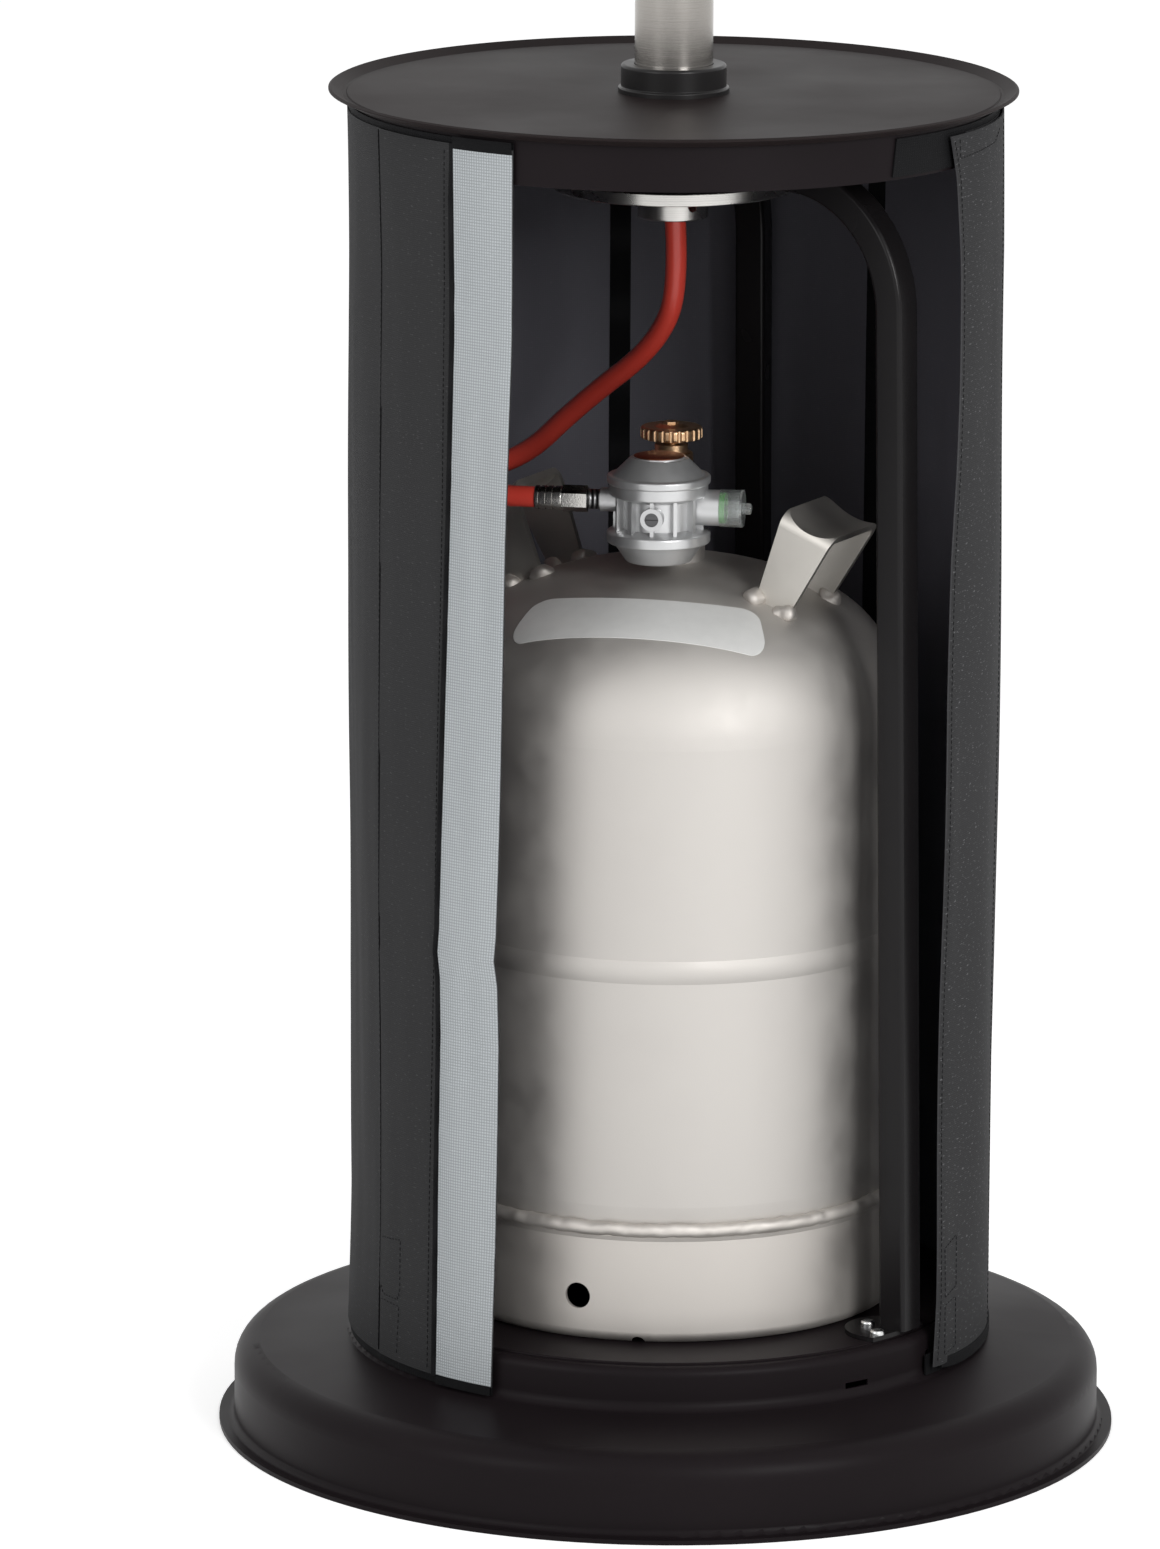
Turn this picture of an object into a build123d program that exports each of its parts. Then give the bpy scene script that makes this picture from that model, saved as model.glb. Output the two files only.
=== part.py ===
from build123d import *
import math
import os

# Mushroom patio heater, in millimetres, +Z up. The origin is on the floor, on the pole's axis.
# The front, where the cover is open, faces -Y. An azimuth is in degrees from the front towards +X.
# Pieces that stand to one side are modelled at the front and then turned to their azimuth.

# Clearances
CLOSE_GAP = 0.05
SEAT_GAP = 0.3
SCREW_GAP = 0.2
SHAFT_GAP = 0.06

# Spun base
BASE_RADIUS = 291.5
BASE_WALL_RADIUS = 281.5
BASE_SHEET = 1.5
BASE_LIP_HEIGHT = 3.0
BASE_LIP_ROUND = 4.0
BASE_SHOULDER_HEIGHT = 53.0
BASE_SHOULDER_ROUND = 18.0
PLINTH_FOOT_HEIGHT = 61.0
PLINTH_COVE = 7.0
PLINTH_RADIUS = 202.0
PLINTH_HEIGHT = 89.0
PLINTH_ROUND = 6.0
PLINTH_OPENING_RADIUS = 150.0
PLINTH_HOLE_RADIUS = 2.5
PLINTH_HOLE_AZIMUTH = 56.0
VENT_SLOT_LENGTH = 18.0
VENT_SLOT_HEIGHT = 4.0
VENT_SLOT_AZIMUTH = 37.0
BOTTLE_PLATE_RADIUS = 194.0
BOTTLE_PLATE_THICKNESS = 1.5

# Support legs
LEG_AZIMUTHS = {"front_right": 52.0, "rear": 162.5, "left": -80.0}
LEG_SIDE = 20.0
LEG_WALL = 1.5
LEG_CORNER = 2.5
LEG_FOOT_RADIUS = 190.0
LEG_TOP_RADIUS = 176.5
LEG_BEND = 80.0
LEG_END_RADIUS = 48.0
FOOT_PLATE_RADIUS = 27.0
FOOT_PLATE_THICKNESS = 3.0
FOOT_PLATE_REACH = 201.0
FOOT_PLATE_SHIFT = 6.0
FOOT_SCREW_NEAR = (-9.0, 19.0)
FOOT_SCREW_FAR = (-23.0, 1.0)

# Pan-head screws
SCREW_RADIUS = 2.5
SCREW_HEAD_RADIUS = 4.6
SCREW_HEAD_HEIGHT = 3.0
SCREW_LENGTH = 10.0

# Mounting disc and pole socket
DISC_RADIUS = 76.5
DISC_THICKNESS = 8.5
DISC_DROP = 57.0
DISC_ROUND = 1.2
SOCKET_RADIUS = 22.6
SOCKET_DROP = 18.5
SOCKET_PLUG_HEIGHT = 50.0
HOSE_BORE_RADIUS = 9.0
COUPLING_BORE_RADIUS = 12.0
COUPLING_SEAT_RISE = 19.0
SOCKET_CROSS_HOLE_RADIUS = 3.5
SOCKET_CROSS_HOLE_AZIMUTH = 34.0
HUB_SCREW_RADIUS = 4.0
HUB_SCREW_HEAD_RADIUS = 6.5
HUB_SCREW_HEAD_HEIGHT = 4.0
HUB_SCREW_CIRCLE = 62.0

# Pole
POLE_RADIUS = 25.0
POLE_WALL = 1.2
LOWER_POLE_LENGTH = 520.0
UPPER_POLE_LENGTH = 500.0
SLEEVE_LENGTH = 160.0
SLEEVE_WALL = 1.5
POLE_SCREW_RADIUS = 3.0
POLE_SCREW_HEAD_RADIUS = 5.0
POLE_SCREW_HEAD_HEIGHT = 2.5
POLE_SCREW_SPACING = 50.0

# Table
TABLE_HEIGHT = 877.0
TABLE_RADIUS = 219.3
TABLE_SHEET = 1.6
TABLE_LIP_RISE = 3.5
TABLE_LIP_WIDTH = 9.0
TABLE_GROOVE_DEPTH = 0.8
TABLE_GROOVE_WIDTH = 3.0
SKIRT_RADIUS = 205.0
SKIRT_SHEET = 1.2
SKIRT_DROP = 35.0
SUPPORT_CUP_RADIUS = 40.0
SUPPORT_FLANGE_RADIUS = 70.0
SUPPORT_SHEET = 2.0
COLLAR_RADIUS = 33.6
COLLAR_FOOT_RADIUS = 35.4
COLLAR_HEIGHT = 18.0
COLLAR_FOOT_HEIGHT = 3.5
COLLAR_ROUND = 2.0

# Cover
COVER_INNER_RADIUS = 206.9
COVER_SHEET = 1.1
COVER_DROP = 13.0
COVER_HEM = 68.0
COVER_RIGHT_AZIMUTH = 62.0
COVER_LEFT_AZIMUTH_TOP = -28.8
COVER_LEFT_AZIMUTH_HEM = -32.6
BAND_SHEET = 1.5
SKIRT_BAND_HEIGHT = 24.0
SKIRT_BAND_AZIMUTH = 42.0
HEM_BAND_TOP = 76.0
HEM_BAND_INNER = 203.4
HEM_BAND_OUTER = 206.0
HEM_BAND_AZIMUTH = 54.0
STRIP_SHEET = 0.5
STRIP_WIDTH = 44.5
STRIP_LOW_MARGIN = 1.0
STRIP_TOP_MARGIN = 3.0
STRIP_TAB_LENGTH = 6.5
PIPING_RADIUS = 1.6
TAPE_WIDTH = 14.0
TAPE_SHEET = 0.8
TAPE_AZIMUTHS = (139.4, 189.6)
DOOR_SHEET = 1.1
DOOR_EDGE_AZIMUTH_TOP = 58.2
DOOR_EDGE_AZIMUTH_HEM = 55.3
DOOR_END_AZIMUTH = 165.5

# Gas bottle
BOTTLE_RADIUS = 150.0
BOTTLE_WALL = 3.5
BOTTLE_TOP = 572.5
BOTTLE_KNUCKLE = 80.0
BOTTLE_CROWN_RISE = 95.5
BOTTLE_BOTTOM = 100.0
BOTTLE_LOW_KNUCKLE = 60.0
BOTTLE_LOW_KNUCKLE_HEIGHT = 180.0
BOTTLE_BEAD_HEIGHT = 333.5
BOTTLE_BEAD_WIDTH = 15.0
BOTTLE_BEAD_RISE = 1.5
FOOT_RING_RADIUS = 151.2
FOOT_RING_SHEET = 2.5
FOOT_RING_TOP = 166.0
FOOT_RING_CURL = 7.0
FOOT_RING_HOLE_RADIUS = 8.4
FOOT_RING_HOLE_HEIGHT = 119.5
FOOT_RING_HOLE_AZIMUTH = -22.0
NECK_RADIUS = 22.0
NECK_RISE = 17.5
NECK_BORE_RADIUS = 10.0
HANDLE_AZIMUTHS = (62.0, -117.0)
HANDLE_RADIUS = 92.0
HANDLE_SEAT_DROP = 23.5
HANDLE_FOOT_INNER = 16.5
HANDLE_FOOT_OUTER = 7.5
HANDLE_TOP_INNER = 20.0
HANDLE_TOP_OUTER = 19.0
HANDLE_THICKNESS = 4.0
HANDLE_RISE = 42.0
HANDLE_FOOT_SPAN = 58.0
HANDLE_TOP_SPAN = 66.0
HANDLE_BEND = 10.0
HANDLE_DISH = 6.0
HANDLE_DISH_RADIUS = 34.0
HANDLE_LEAN = 22.0
LABEL_SHEET = 0.3
LABEL_WIDTH = 38.0
LABEL_ARC_RADIUS = 208.0
LABEL_MIDDLE = 97.5
LABEL_AZIMUTH = -12.5
LABEL_HALF_ANGLE = 22.0
LABEL_ROUND = 12.0

# Bottle valve
VALVE_RADIUS = 14.0
VALVE_RISE = 51.0
VALVE_OUTLET_RISE = 21.5
VALVE_OUTLET_RADIUS = 10.5
VALVE_OUTLET_REACH = 20.0
BONNET_RADIUS = 10.6
BONNET_HEIGHT = 5.0
SPINDLE_RADIUS = 3.6
HANDWHEEL_RADIUS = 20.0
HANDWHEEL_RISE = 8.8
HANDWHEEL_HEIGHT = 9.2
HANDWHEEL_HUB_RADIUS = 7.0
HANDWHEEL_HUB_DROP = 3.0
HANDWHEEL_SCALLOPS = 24
HANDWHEEL_SCALLOP_RADIUS = 1.7
HANDWHEEL_NUT_RADIUS = 5.0
HANDWHEEL_NUT_HEIGHT = 1.6

# Regulator, in a frame turned about the valve
REGULATOR_AZIMUTH = -8.7
REGULATOR_DISTANCE = 52.6
REGULATOR_BODY_RADIUS = 24.0
REGULATOR_FLANGE_RADIUS = 33.0
REGULATOR_BOWL_DROP = 31.5
REGULATOR_BOWL_RADIUS = 20.5
REGULATOR_FLANGE_NEAR = 12.0
REGULATOR_FLANGE_FAR = 19.0
REGULATOR_CAP_FLANGE_HEIGHT = 5.5
REGULATOR_CAP_HEIGHT = 16.5
REGULATOR_CAP_RADIUS = 18.4
REGULATOR_DISC_SHEET = 0.8
REGULATOR_RIBS = 12
REGULATOR_RIB_WIDTH = 2.4
REGULATOR_RIB_RADIUS = 29.0
REGULATOR_ROUND = 1.5
PORT_RISE = 0.5
PORT_RADIUS = 7.2
PORT_PLUG_RADIUS = 4.4
PORT_REACH = 30.5
PORT_DEPTH = 5.0
UNION_NUT_RADIUS = 13.5
UNION_NUT_LENGTH = 14.0
OUTLET_RISE = 7.0
OUTLET_NECK_RADIUS = 7.6
OUTLET_NECK_REACH = 37.0
NIPPLE_RADIUS = 6.4
NIPPLE_LENGTH = 12.0
HOSE_NUT_FLATS = 15.0
HOSE_NUT_REACH = 45.5
HOSE_NUT_LENGTH = 16.0
FERRULE_RADIUS = 7.6
FERRULE_LENGTH = 18.0
SIGHT_RISE = 4.0
SIGHT_BOSS_RADIUS = 11.5
SIGHT_BOSS_REACH = 40.0
SIGHT_CAP_RADIUS = 12.0
SIGHT_CAP_LENGTH = 14.5
SIGHT_CAP_WALL = 1.5
INDICATOR_LENGTH = 3.4
INDICATOR_RADIUS = 9.9
BUTTON_RADIUS = 3.5
BUTTON_PROUD = 5.0
BUTTON_TRAVEL = 2.5
BUTTON_HEAD_RADIUS = 5.5
BUTTON_HEAD_LENGTH = 2.0
BUTTON_STEM_RADIUS = 2.0

# Gas hose from the ferrule, round a loop over the left handle, up into the pole socket
HOSE_RADIUS = 6.75
HOSE_FIRST_RUN = 53.0
# Each point of its loop has x, y, and its share of the way up from the outlet to the coupling
HOSE_ROUTE_MIDDLE = (
    (-175.0, 10.0, -0.0233),
    (-178.0, 64.0, -0.0491),
    (-146.0, 107.0, -0.0646),
    (-93.0, 112.0, -0.0078),
    (-46.0, 77.0, 0.2041),
    (-17.0, 36.0, 0.4367),
    (0.0, 0.0, 0.6899),
)
HOSE_CORNER_SHARE = 0.45
COUPLING_RADIUS = 11.6
COUPLING_LENGTH = 22.0
RISER_RADIUS = 4.0
RISER_BEND = 20.0

# Burner head
HOUSING_RADIUS = 96.0
HOUSING_SHEET = 1.2
HOUSING_NECK_RADIUS = 27.0
HOUSING_NECK_DROP = 22.0
HOUSING_CONE_HEIGHT = 46.0
HOUSING_HEIGHT = 118.0
HOUSING_SEAT_WIDTH = 12.0
FLOOR_SHEET = 2.0
FLOOR_LIP = 4.0
FASCIA_WIDTH = 112.0
FASCIA_HEIGHT = 56.0
FASCIA_REACH = 103.0
FASCIA_SHEET = 2.0
FASCIA_ROUND = 6.0
CONTROL_RISE = 78.0
KNOB_OFFSET = -18.0
KNOB_RADIUS = 20.0
KNOB_LENGTH = 20.0
KNOB_GRIP_WIDTH = 8.0
KNOB_GAP = 5.0
KNOB_TRAVEL = 4.0
KNOB_SHAFT_RADIUS = 4.0
PLUNGER_RADIUS = 7.5
PLUNGER_LENGTH = 12.0
GAS_VALVE_WIDTH = 34.0
GAS_VALVE_HEIGHT = 40.0
GAS_VALVE_DEPTH = 44.0
IGNITER_OFFSET = 32.0
IGNITER_RADIUS = 9.0
IGNITER_LENGTH = 42.0
IGNITER_BUTTON_RADIUS = 7.0
IGNITER_BUTTON_PROUD = 9.0
IGNITER_TRAVEL = 6.0
IGNITER_BEZEL_RADIUS = 11.0
IGNITER_BEZEL_HEIGHT = 2.0
NOZZLE_RADIUS = 9.0
BURNER_RADIUS = 42.0
BURNER_HEIGHT = 26.0
BURNER_CUP_SHEET = 1.5
PILOT_RADIUS = 60.0
PILOT_TUBE_RADIUS = 3.0
PILOT_HEIGHT = 46.0
PILOT_SPACING = 14.0
TILT_SWITCH_RADIUS = 10.0
TILT_SWITCH_HEIGHT = 26.0
EMITTER_RADIUS = 84.0
EMITTER_SHEET = 1.0
EMITTER_HEIGHT = 158.0
EMITTER_CAP_HEIGHT = 9.0
EMITTER_CAP_SHEET = 1.5

# Reflector hood
HOOD_RADIUS = 382.0
HOOD_SHEET = 1.2
HOOD_RIM_DROP = 8.0
HOOD_RISE = 74.0
HOOD_CROWN_RADIUS = 105.0
HOOD_LIP_WIDTH = 6.0
STUD_CIRCLE = 70.0
STUD_RADIUS = 3.0
STUD_COUNT = 3
SPACER_RADIUS = 6.0
SPACER_HEIGHT = 58.0
WING_NUT_RADIUS = 6.0
WING_NUT_HEIGHT = 7.0
WING_SPAN = 30.0
WING_SHEET = 3.0
WING_RISE = 8.0
STUD_PROUD = 14.0

# Heights and reaches that follow
DISC_TOP = TABLE_HEIGHT - DISC_DROP
SKIRT_BOTTOM = TABLE_HEIGHT - SKIRT_DROP
COVER_TOP = TABLE_HEIGHT - COVER_DROP
BOTTLE_KNUCKLE_HEIGHT = BOTTLE_TOP - BOTTLE_CROWN_RISE
HANDLE_SEAT_HEIGHT = BOTTLE_TOP - HANDLE_SEAT_DROP
HANDLE_TOP = BOTTLE_TOP + HANDLE_RISE
NECK_TOP = BOTTLE_TOP + NECK_RISE
VALVE_TOP = NECK_TOP + VALVE_RISE
VALVE_OUTLET_HEIGHT = NECK_TOP + VALVE_OUTLET_RISE
HANDWHEEL_BOTTOM = VALVE_TOP + HANDWHEEL_RISE
REGULATOR_BOTTOM = VALVE_OUTLET_HEIGHT - REGULATOR_BOWL_DROP
REGULATOR_LOWER_FLANGE = (
    VALVE_OUTLET_HEIGHT - REGULATOR_FLANGE_FAR,
    VALVE_OUTLET_HEIGHT - REGULATOR_FLANGE_NEAR,
)
REGULATOR_UPPER_FLANGE = (
    VALVE_OUTLET_HEIGHT + REGULATOR_FLANGE_NEAR,
    VALVE_OUTLET_HEIGHT + REGULATOR_FLANGE_FAR,
)
REGULATOR_CAP_FLANGE_TOP = REGULATOR_UPPER_FLANGE[1] + REGULATOR_CAP_FLANGE_HEIGHT
REGULATOR_CAP_TOP = REGULATOR_UPPER_FLANGE[1] + REGULATOR_CAP_HEIGHT
PORT_HEIGHT = VALVE_OUTLET_HEIGHT + PORT_RISE
OUTLET_HEIGHT = VALVE_OUTLET_HEIGHT + OUTLET_RISE
SIGHT_HEIGHT = VALVE_OUTLET_HEIGHT + SIGHT_RISE
BOTTLE_FLOOR = PLINTH_HEIGHT + BOTTLE_PLATE_THICKNESS
LEG_BOTTOM = BOTTLE_FLOOR + FOOT_PLATE_THICKNESS
LEG_RUN_HEIGHT = DISC_TOP + LEG_SIDE / 2
DISC_BOTTOM = DISC_TOP - DISC_THICKNESS
SOCKET_BOTTOM = DISC_BOTTOM - SOCKET_DROP
COUPLING_SEAT = SOCKET_BOTTOM + COUPLING_SEAT_RISE
TABLE_PLATE_TOP = TABLE_HEIGHT - TABLE_LIP_RISE
TABLE_PLATE_BOTTOM = TABLE_PLATE_TOP - TABLE_SHEET
COVER_RADIUS = COVER_INNER_RADIUS + COVER_SHEET
STRIP_INNER = COVER_RADIUS + CLOSE_GAP
STRIP_OUTER = STRIP_INNER + STRIP_SHEET
DOOR_INNER = STRIP_OUTER + SEAT_GAP
DOOR_RADIUS = DOOR_INNER + DOOR_SHEET
POLE_INNER = POLE_RADIUS - POLE_WALL
POLE_JOINT = DISC_TOP + LOWER_POLE_LENGTH
POLE_TOP = POLE_JOINT + UPPER_POLE_LENGTH
HOUSING_BOTTOM = POLE_TOP - HOUSING_NECK_DROP
HOUSING_TOP = POLE_TOP + HOUSING_HEIGHT - HOUSING_NECK_DROP
CONTROL_HEIGHT = HOUSING_BOTTOM + CONTROL_RISE
FLOOR_TOP = HOUSING_TOP + FLOOR_SHEET
EMITTER_TOP = FLOOR_TOP + EMITTER_HEIGHT
EMITTER_CAP_TOP = EMITTER_TOP + EMITTER_CAP_HEIGHT
HOOD_CROWN = EMITTER_CAP_TOP + SPACER_HEIGHT
HOOD_RIM = HOOD_CROWN - HOOD_RISE
HANDWHEEL_TOP = HANDWHEEL_BOTTOM + HANDWHEEL_HEIGHT

pieces = {}


def at_azimuth(azimuth, shape):
    """Turn a shape that was modelled at the front to its azimuth."""
    return Rot(0, 0, azimuth) * shape


def outline(points, rounds=None):
    """Closed outline of (radius, height) points; rounds maps a point's number to its corner radius."""
    rounds = rounds or {}
    corners = [(radius, 0, height) for radius, height in points]
    radii = [rounds.get(number, 0) for number in range(len(points))]
    if not any(radii):
        return Face(Wire(Polyline(*corners, close=True).edges()))
    return Face(Wire(FilletPolyline(*corners, radius=radii, close=True).edges()))


def turned(points, rounds=None):
    """Revolve an outline right round the pole's axis."""
    return revolve(outline(points, rounds), Axis.Z, 360)


def sector(inner, outer, bottom, top, start, end):
    """Piece of a round wall between two azimuths, the second one reached anticlockwise from above."""
    face = outline([(inner, bottom), (outer, bottom), (outer, top), (inner, top)])
    return Rot(0, 0, start - 90) * revolve(face, Axis.Z, end - start)


def pin(radius, bottom, top, x=0.0, y=0.0):
    """Upright round bar."""
    return Pos(x, y, bottom) * Cylinder(radius, top - bottom, align=(Align.CENTER, Align.CENTER, Align.MIN))


def bar_forward(radius, back, front, x, z):
    """Round bar along -Y, from y = -back to y = -front."""
    bar = Cylinder(radius, front - back, align=(Align.CENTER, Align.CENTER, Align.MIN))
    return Pos(x, -back, z) * Rot(90, 0, 0) * bar


def bar_sideways(radius, start, end, y, z):
    """Round bar along +X from x = start to x = end."""
    bar = Cylinder(radius, end - start, align=(Align.CENTER, Align.CENTER, Align.MIN))
    return Pos(start, y, z) * Rot(0, 90, 0) * bar


def arc(centre, radius, first, last):
    """Arc in the (radius, height) plane, between two angles from the horizontal."""
    def spot(angle):
        turn = math.radians(angle)
        return (centre[0] + radius * math.cos(turn), 0, centre[1] + radius * math.sin(turn))
    return ThreePointArc(spot(first), spot((first + last) / 2), spot(last))


def slanted_wall(inner, outer, bottom, top, bottom_azimuths, top_azimuths):
    """Piece of a round wall at the front whose two upright edges lean."""
    middle = (sum(bottom_azimuths) + sum(top_azimuths)) / 4
    corners = []
    for height, azimuths in ((bottom, bottom_azimuths), (top, reversed(top_azimuths))):
        for azimuth in azimuths:
            corners.append((outer * math.sin(math.radians(azimuth - middle)), 0, height))
    window = extrude(Face(Wire(Polyline(*corners, close=True).edges())), outer + 1, dir=(0, -1, 0))
    ring = turned([(inner, bottom), (outer, bottom), (outer, top), (inner, top)])
    return at_azimuth(middle, window) & ring


# Base


def make_base_pan():
    """Spun pan: floor lip, wall, sloping top, and the plinth that the bottle and the legs stand on."""
    sheet = BASE_SHEET
    outer = [
        (PLINTH_OPENING_RADIUS, PLINTH_HEIGHT),
        (PLINTH_RADIUS, PLINTH_HEIGHT),
        (PLINTH_RADIUS, PLINTH_FOOT_HEIGHT),
        (BASE_WALL_RADIUS, BASE_SHOULDER_HEIGHT),
        (BASE_WALL_RADIUS, BASE_LIP_HEIGHT),
        (BASE_RADIUS, BASE_LIP_HEIGHT),
        (BASE_RADIUS, 0),
    ]
    inner = [
        (BASE_WALL_RADIUS - sheet, 0),
        (BASE_WALL_RADIUS - sheet, BASE_SHOULDER_HEIGHT - sheet),
        (PLINTH_RADIUS - sheet, PLINTH_FOOT_HEIGHT - sheet),
        (PLINTH_RADIUS - sheet, PLINTH_HEIGHT - sheet),
        (PLINTH_OPENING_RADIUS, PLINTH_HEIGHT - sheet),
    ]
    rounds = {
        1: PLINTH_ROUND,
        2: PLINTH_COVE,
        3: BASE_SHOULDER_ROUND,
        4: BASE_LIP_ROUND,
        8: BASE_SHOULDER_ROUND - sheet,
        9: PLINTH_COVE + sheet,
        10: PLINTH_ROUND - sheet,
    }
    pan = turned(outer + inner, rounds)
    middle = (PLINTH_FOOT_HEIGHT + PLINTH_HEIGHT) / 2
    hole = bar_forward(PLINTH_HOLE_RADIUS, PLINTH_OPENING_RADIUS, PLINTH_RADIUS + 9, 0, middle)
    pan -= at_azimuth(PLINTH_HOLE_AZIMUTH, hole)
    slot = Box(VENT_SLOT_LENGTH, 4 * PLINTH_COVE, VENT_SLOT_HEIGHT)
    slot_height = PLINTH_FOOT_HEIGHT + PLINTH_COVE
    pan -= at_azimuth(VENT_SLOT_AZIMUTH, Pos(0, -PLINTH_RADIUS, slot_height) * slot)
    for x, y in foot_screw_spots():
        drill = pin(SCREW_RADIUS + SCREW_GAP, PLINTH_HEIGHT - 9, PLINTH_HEIGHT + 1, x, y)
        for azimuth in LEG_AZIMUTHS.values():
            pan -= at_azimuth(azimuth, drill)
    return pan


def foot_screw_spots():
    """Screw places on one foot plate, with the leg at the front."""
    return [(x, y - LEG_FOOT_RADIUS) for x, y in (FOOT_SCREW_NEAR, FOOT_SCREW_FAR)]


def make_bottle_plate():
    """Flat round plate on the plinth, drilled for the foot screws."""
    plate = pin(BOTTLE_PLATE_RADIUS, PLINTH_HEIGHT, BOTTLE_FLOOR)
    rim = plate.edges().filter_by(GeomType.CIRCLE).group_by(Axis.Z)[-1]
    plate = fillet(rim, BOTTLE_PLATE_THICKNESS / 2)
    for x, y in foot_screw_spots():
        drill = pin(SCREW_RADIUS + SCREW_GAP, PLINTH_HEIGHT - 1, BOTTLE_FLOOR + 1, x, y)
        for azimuth in LEG_AZIMUTHS.values():
            plate -= at_azimuth(azimuth, drill)
    return plate


# Legs


def leg_tube(side, corner, start, end):
    """Square bar along the leg's route, from the foot to the middle of the mounting disc."""
    foot = (0, -LEG_FOOT_RADIUS, start)
    top = (0, -LEG_TOP_RADIUS, LEG_RUN_HEIGHT)
    route = FilletPolyline(foot, top, (0, -end, LEG_RUN_HEIGHT), radius=[LEG_BEND])
    across = Plane(origin=route @ 0, x_dir=(1, 0, 0), z_dir=route % 0)
    section = across * RectangleRounded(side, side, corner)
    return sweep(section, path=route)


def make_leg(azimuth):
    """Bent square tube, drilled from below for its hub screw."""
    start = LEG_BOTTOM - 1
    leg = leg_tube(LEG_SIDE, LEG_CORNER, start, LEG_END_RADIUS)
    leg -= leg_tube(LEG_SIDE - 2 * LEG_WALL, LEG_CORNER - LEG_WALL, start, LEG_END_RADIUS)
    below = Box(LEG_SIDE * 3, LEG_SIDE * 3, 9, align=(Align.CENTER, Align.CENTER, Align.MAX))
    leg -= Pos(0, -LEG_FOOT_RADIUS, LEG_BOTTOM) * below
    drill = pin(HUB_SCREW_RADIUS + SCREW_GAP, DISC_TOP - 1, LEG_RUN_HEIGHT, 0, -HUB_SCREW_CIRCLE)
    return at_azimuth(azimuth, leg - drill)


def make_foot_plates():
    """D-shaped plates under the legs, each with two screw holes beside the leg."""
    middle = FOOT_PLATE_SHIFT - LEG_FOOT_RADIUS
    plate = pin(FOOT_PLATE_RADIUS, BOTTLE_FLOOR, LEG_BOTTOM, -FOOT_PLATE_SHIFT, middle)
    plate &= pin(FOOT_PLATE_REACH - PLINTH_ROUND, BOTTLE_FLOOR, LEG_BOTTOM)
    for x, y in foot_screw_spots():
        plate -= pin(SCREW_RADIUS + SCREW_GAP, BOTTLE_FLOOR - 1, LEG_BOTTOM + 1, x, y)
    return [at_azimuth(azimuth, plate) for azimuth in LEG_AZIMUTHS.values()]


def make_foot_screws():
    """Pan-head screws of the foot plates, two to a leg."""
    shank = pin(SCREW_RADIUS, LEG_BOTTOM - SCREW_LENGTH, LEG_BOTTOM)
    head = pin(SCREW_HEAD_RADIUS, LEG_BOTTOM, LEG_BOTTOM + SCREW_HEAD_HEIGHT)
    head = fillet(head.edges().filter_by(GeomType.CIRCLE).group_by(Axis.Z)[-1], SCREW_HEAD_HEIGHT * 0.6)
    recess = Pos(0, 0, LEG_BOTTOM + SCREW_HEAD_HEIGHT) * (Box(4.4, 0.9, 2) + Box(0.9, 4.4, 2))
    screw = shank + head - recess
    return [
        at_azimuth(azimuth, Pos(x, y, 0) * screw)
        for azimuth in LEG_AZIMUTHS.values()
        for x, y in foot_screw_spots()
    ]


# Mounting disc, socket and pole


def make_mounting_disc():
    """Thick round disc under the leg ends."""
    disc = turned(
        [
            (SOCKET_RADIUS, DISC_BOTTOM),
            (DISC_RADIUS, DISC_BOTTOM),
            (DISC_RADIUS, DISC_TOP),
            (SOCKET_RADIUS, DISC_TOP),
        ],
        {1: DISC_ROUND, 2: DISC_ROUND},
    )
    seat = DISC_BOTTOM + HUB_SCREW_HEAD_HEIGHT
    drill = pin(HUB_SCREW_RADIUS + SCREW_GAP, DISC_BOTTOM - 1, DISC_TOP + 1, 0, -HUB_SCREW_CIRCLE)
    drill += pin(HUB_SCREW_HEAD_RADIUS + SCREW_GAP, DISC_BOTTOM - 1, seat, 0, -HUB_SCREW_CIRCLE)
    for azimuth in LEG_AZIMUTHS.values():
        disc -= at_azimuth(azimuth, drill)
    return disc


def make_hub_screws():
    """One hexagon screw from below into each leg end, its head sunk in the disc."""
    screw = pin(HUB_SCREW_RADIUS, DISC_BOTTOM, DISC_TOP + LEG_WALL + 3, 0, -HUB_SCREW_CIRCLE)
    head = extrude(RegularPolygon(HUB_SCREW_HEAD_RADIUS, 6), HUB_SCREW_HEAD_HEIGHT)
    screw += Pos(0, -HUB_SCREW_CIRCLE, DISC_BOTTOM) * head
    return [at_azimuth(azimuth, screw) for azimuth in LEG_AZIMUTHS.values()]


def make_pole_socket():
    """Turned socket: the stub below the disc, and the plug that the pole stands round."""
    plug_radius = POLE_INNER - SEAT_GAP
    plug_top = DISC_TOP + SOCKET_PLUG_HEIGHT
    socket = turned(
        [
            (HOSE_BORE_RADIUS, SOCKET_BOTTOM),
            (SOCKET_RADIUS, SOCKET_BOTTOM),
            (SOCKET_RADIUS, DISC_TOP),
            (plug_radius, DISC_TOP),
            (plug_radius, plug_top),
            (COUPLING_BORE_RADIUS, plug_top),
            (COUPLING_BORE_RADIUS, COUPLING_SEAT),
            (HOSE_BORE_RADIUS, COUPLING_SEAT),
        ],
        {1: DISC_ROUND},
    )
    cross = bar_forward(SOCKET_CROSS_HOLE_RADIUS, 0, SOCKET_RADIUS + 1, 0, SOCKET_BOTTOM + SOCKET_DROP / 2)
    return socket - at_azimuth(SOCKET_CROSS_HOLE_AZIMUTH, cross)


def pole_tube(bottom, top):
    """Length of the pole."""
    return turned([(POLE_INNER, bottom), (POLE_RADIUS, bottom), (POLE_RADIUS, top), (POLE_INNER, top)])


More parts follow.
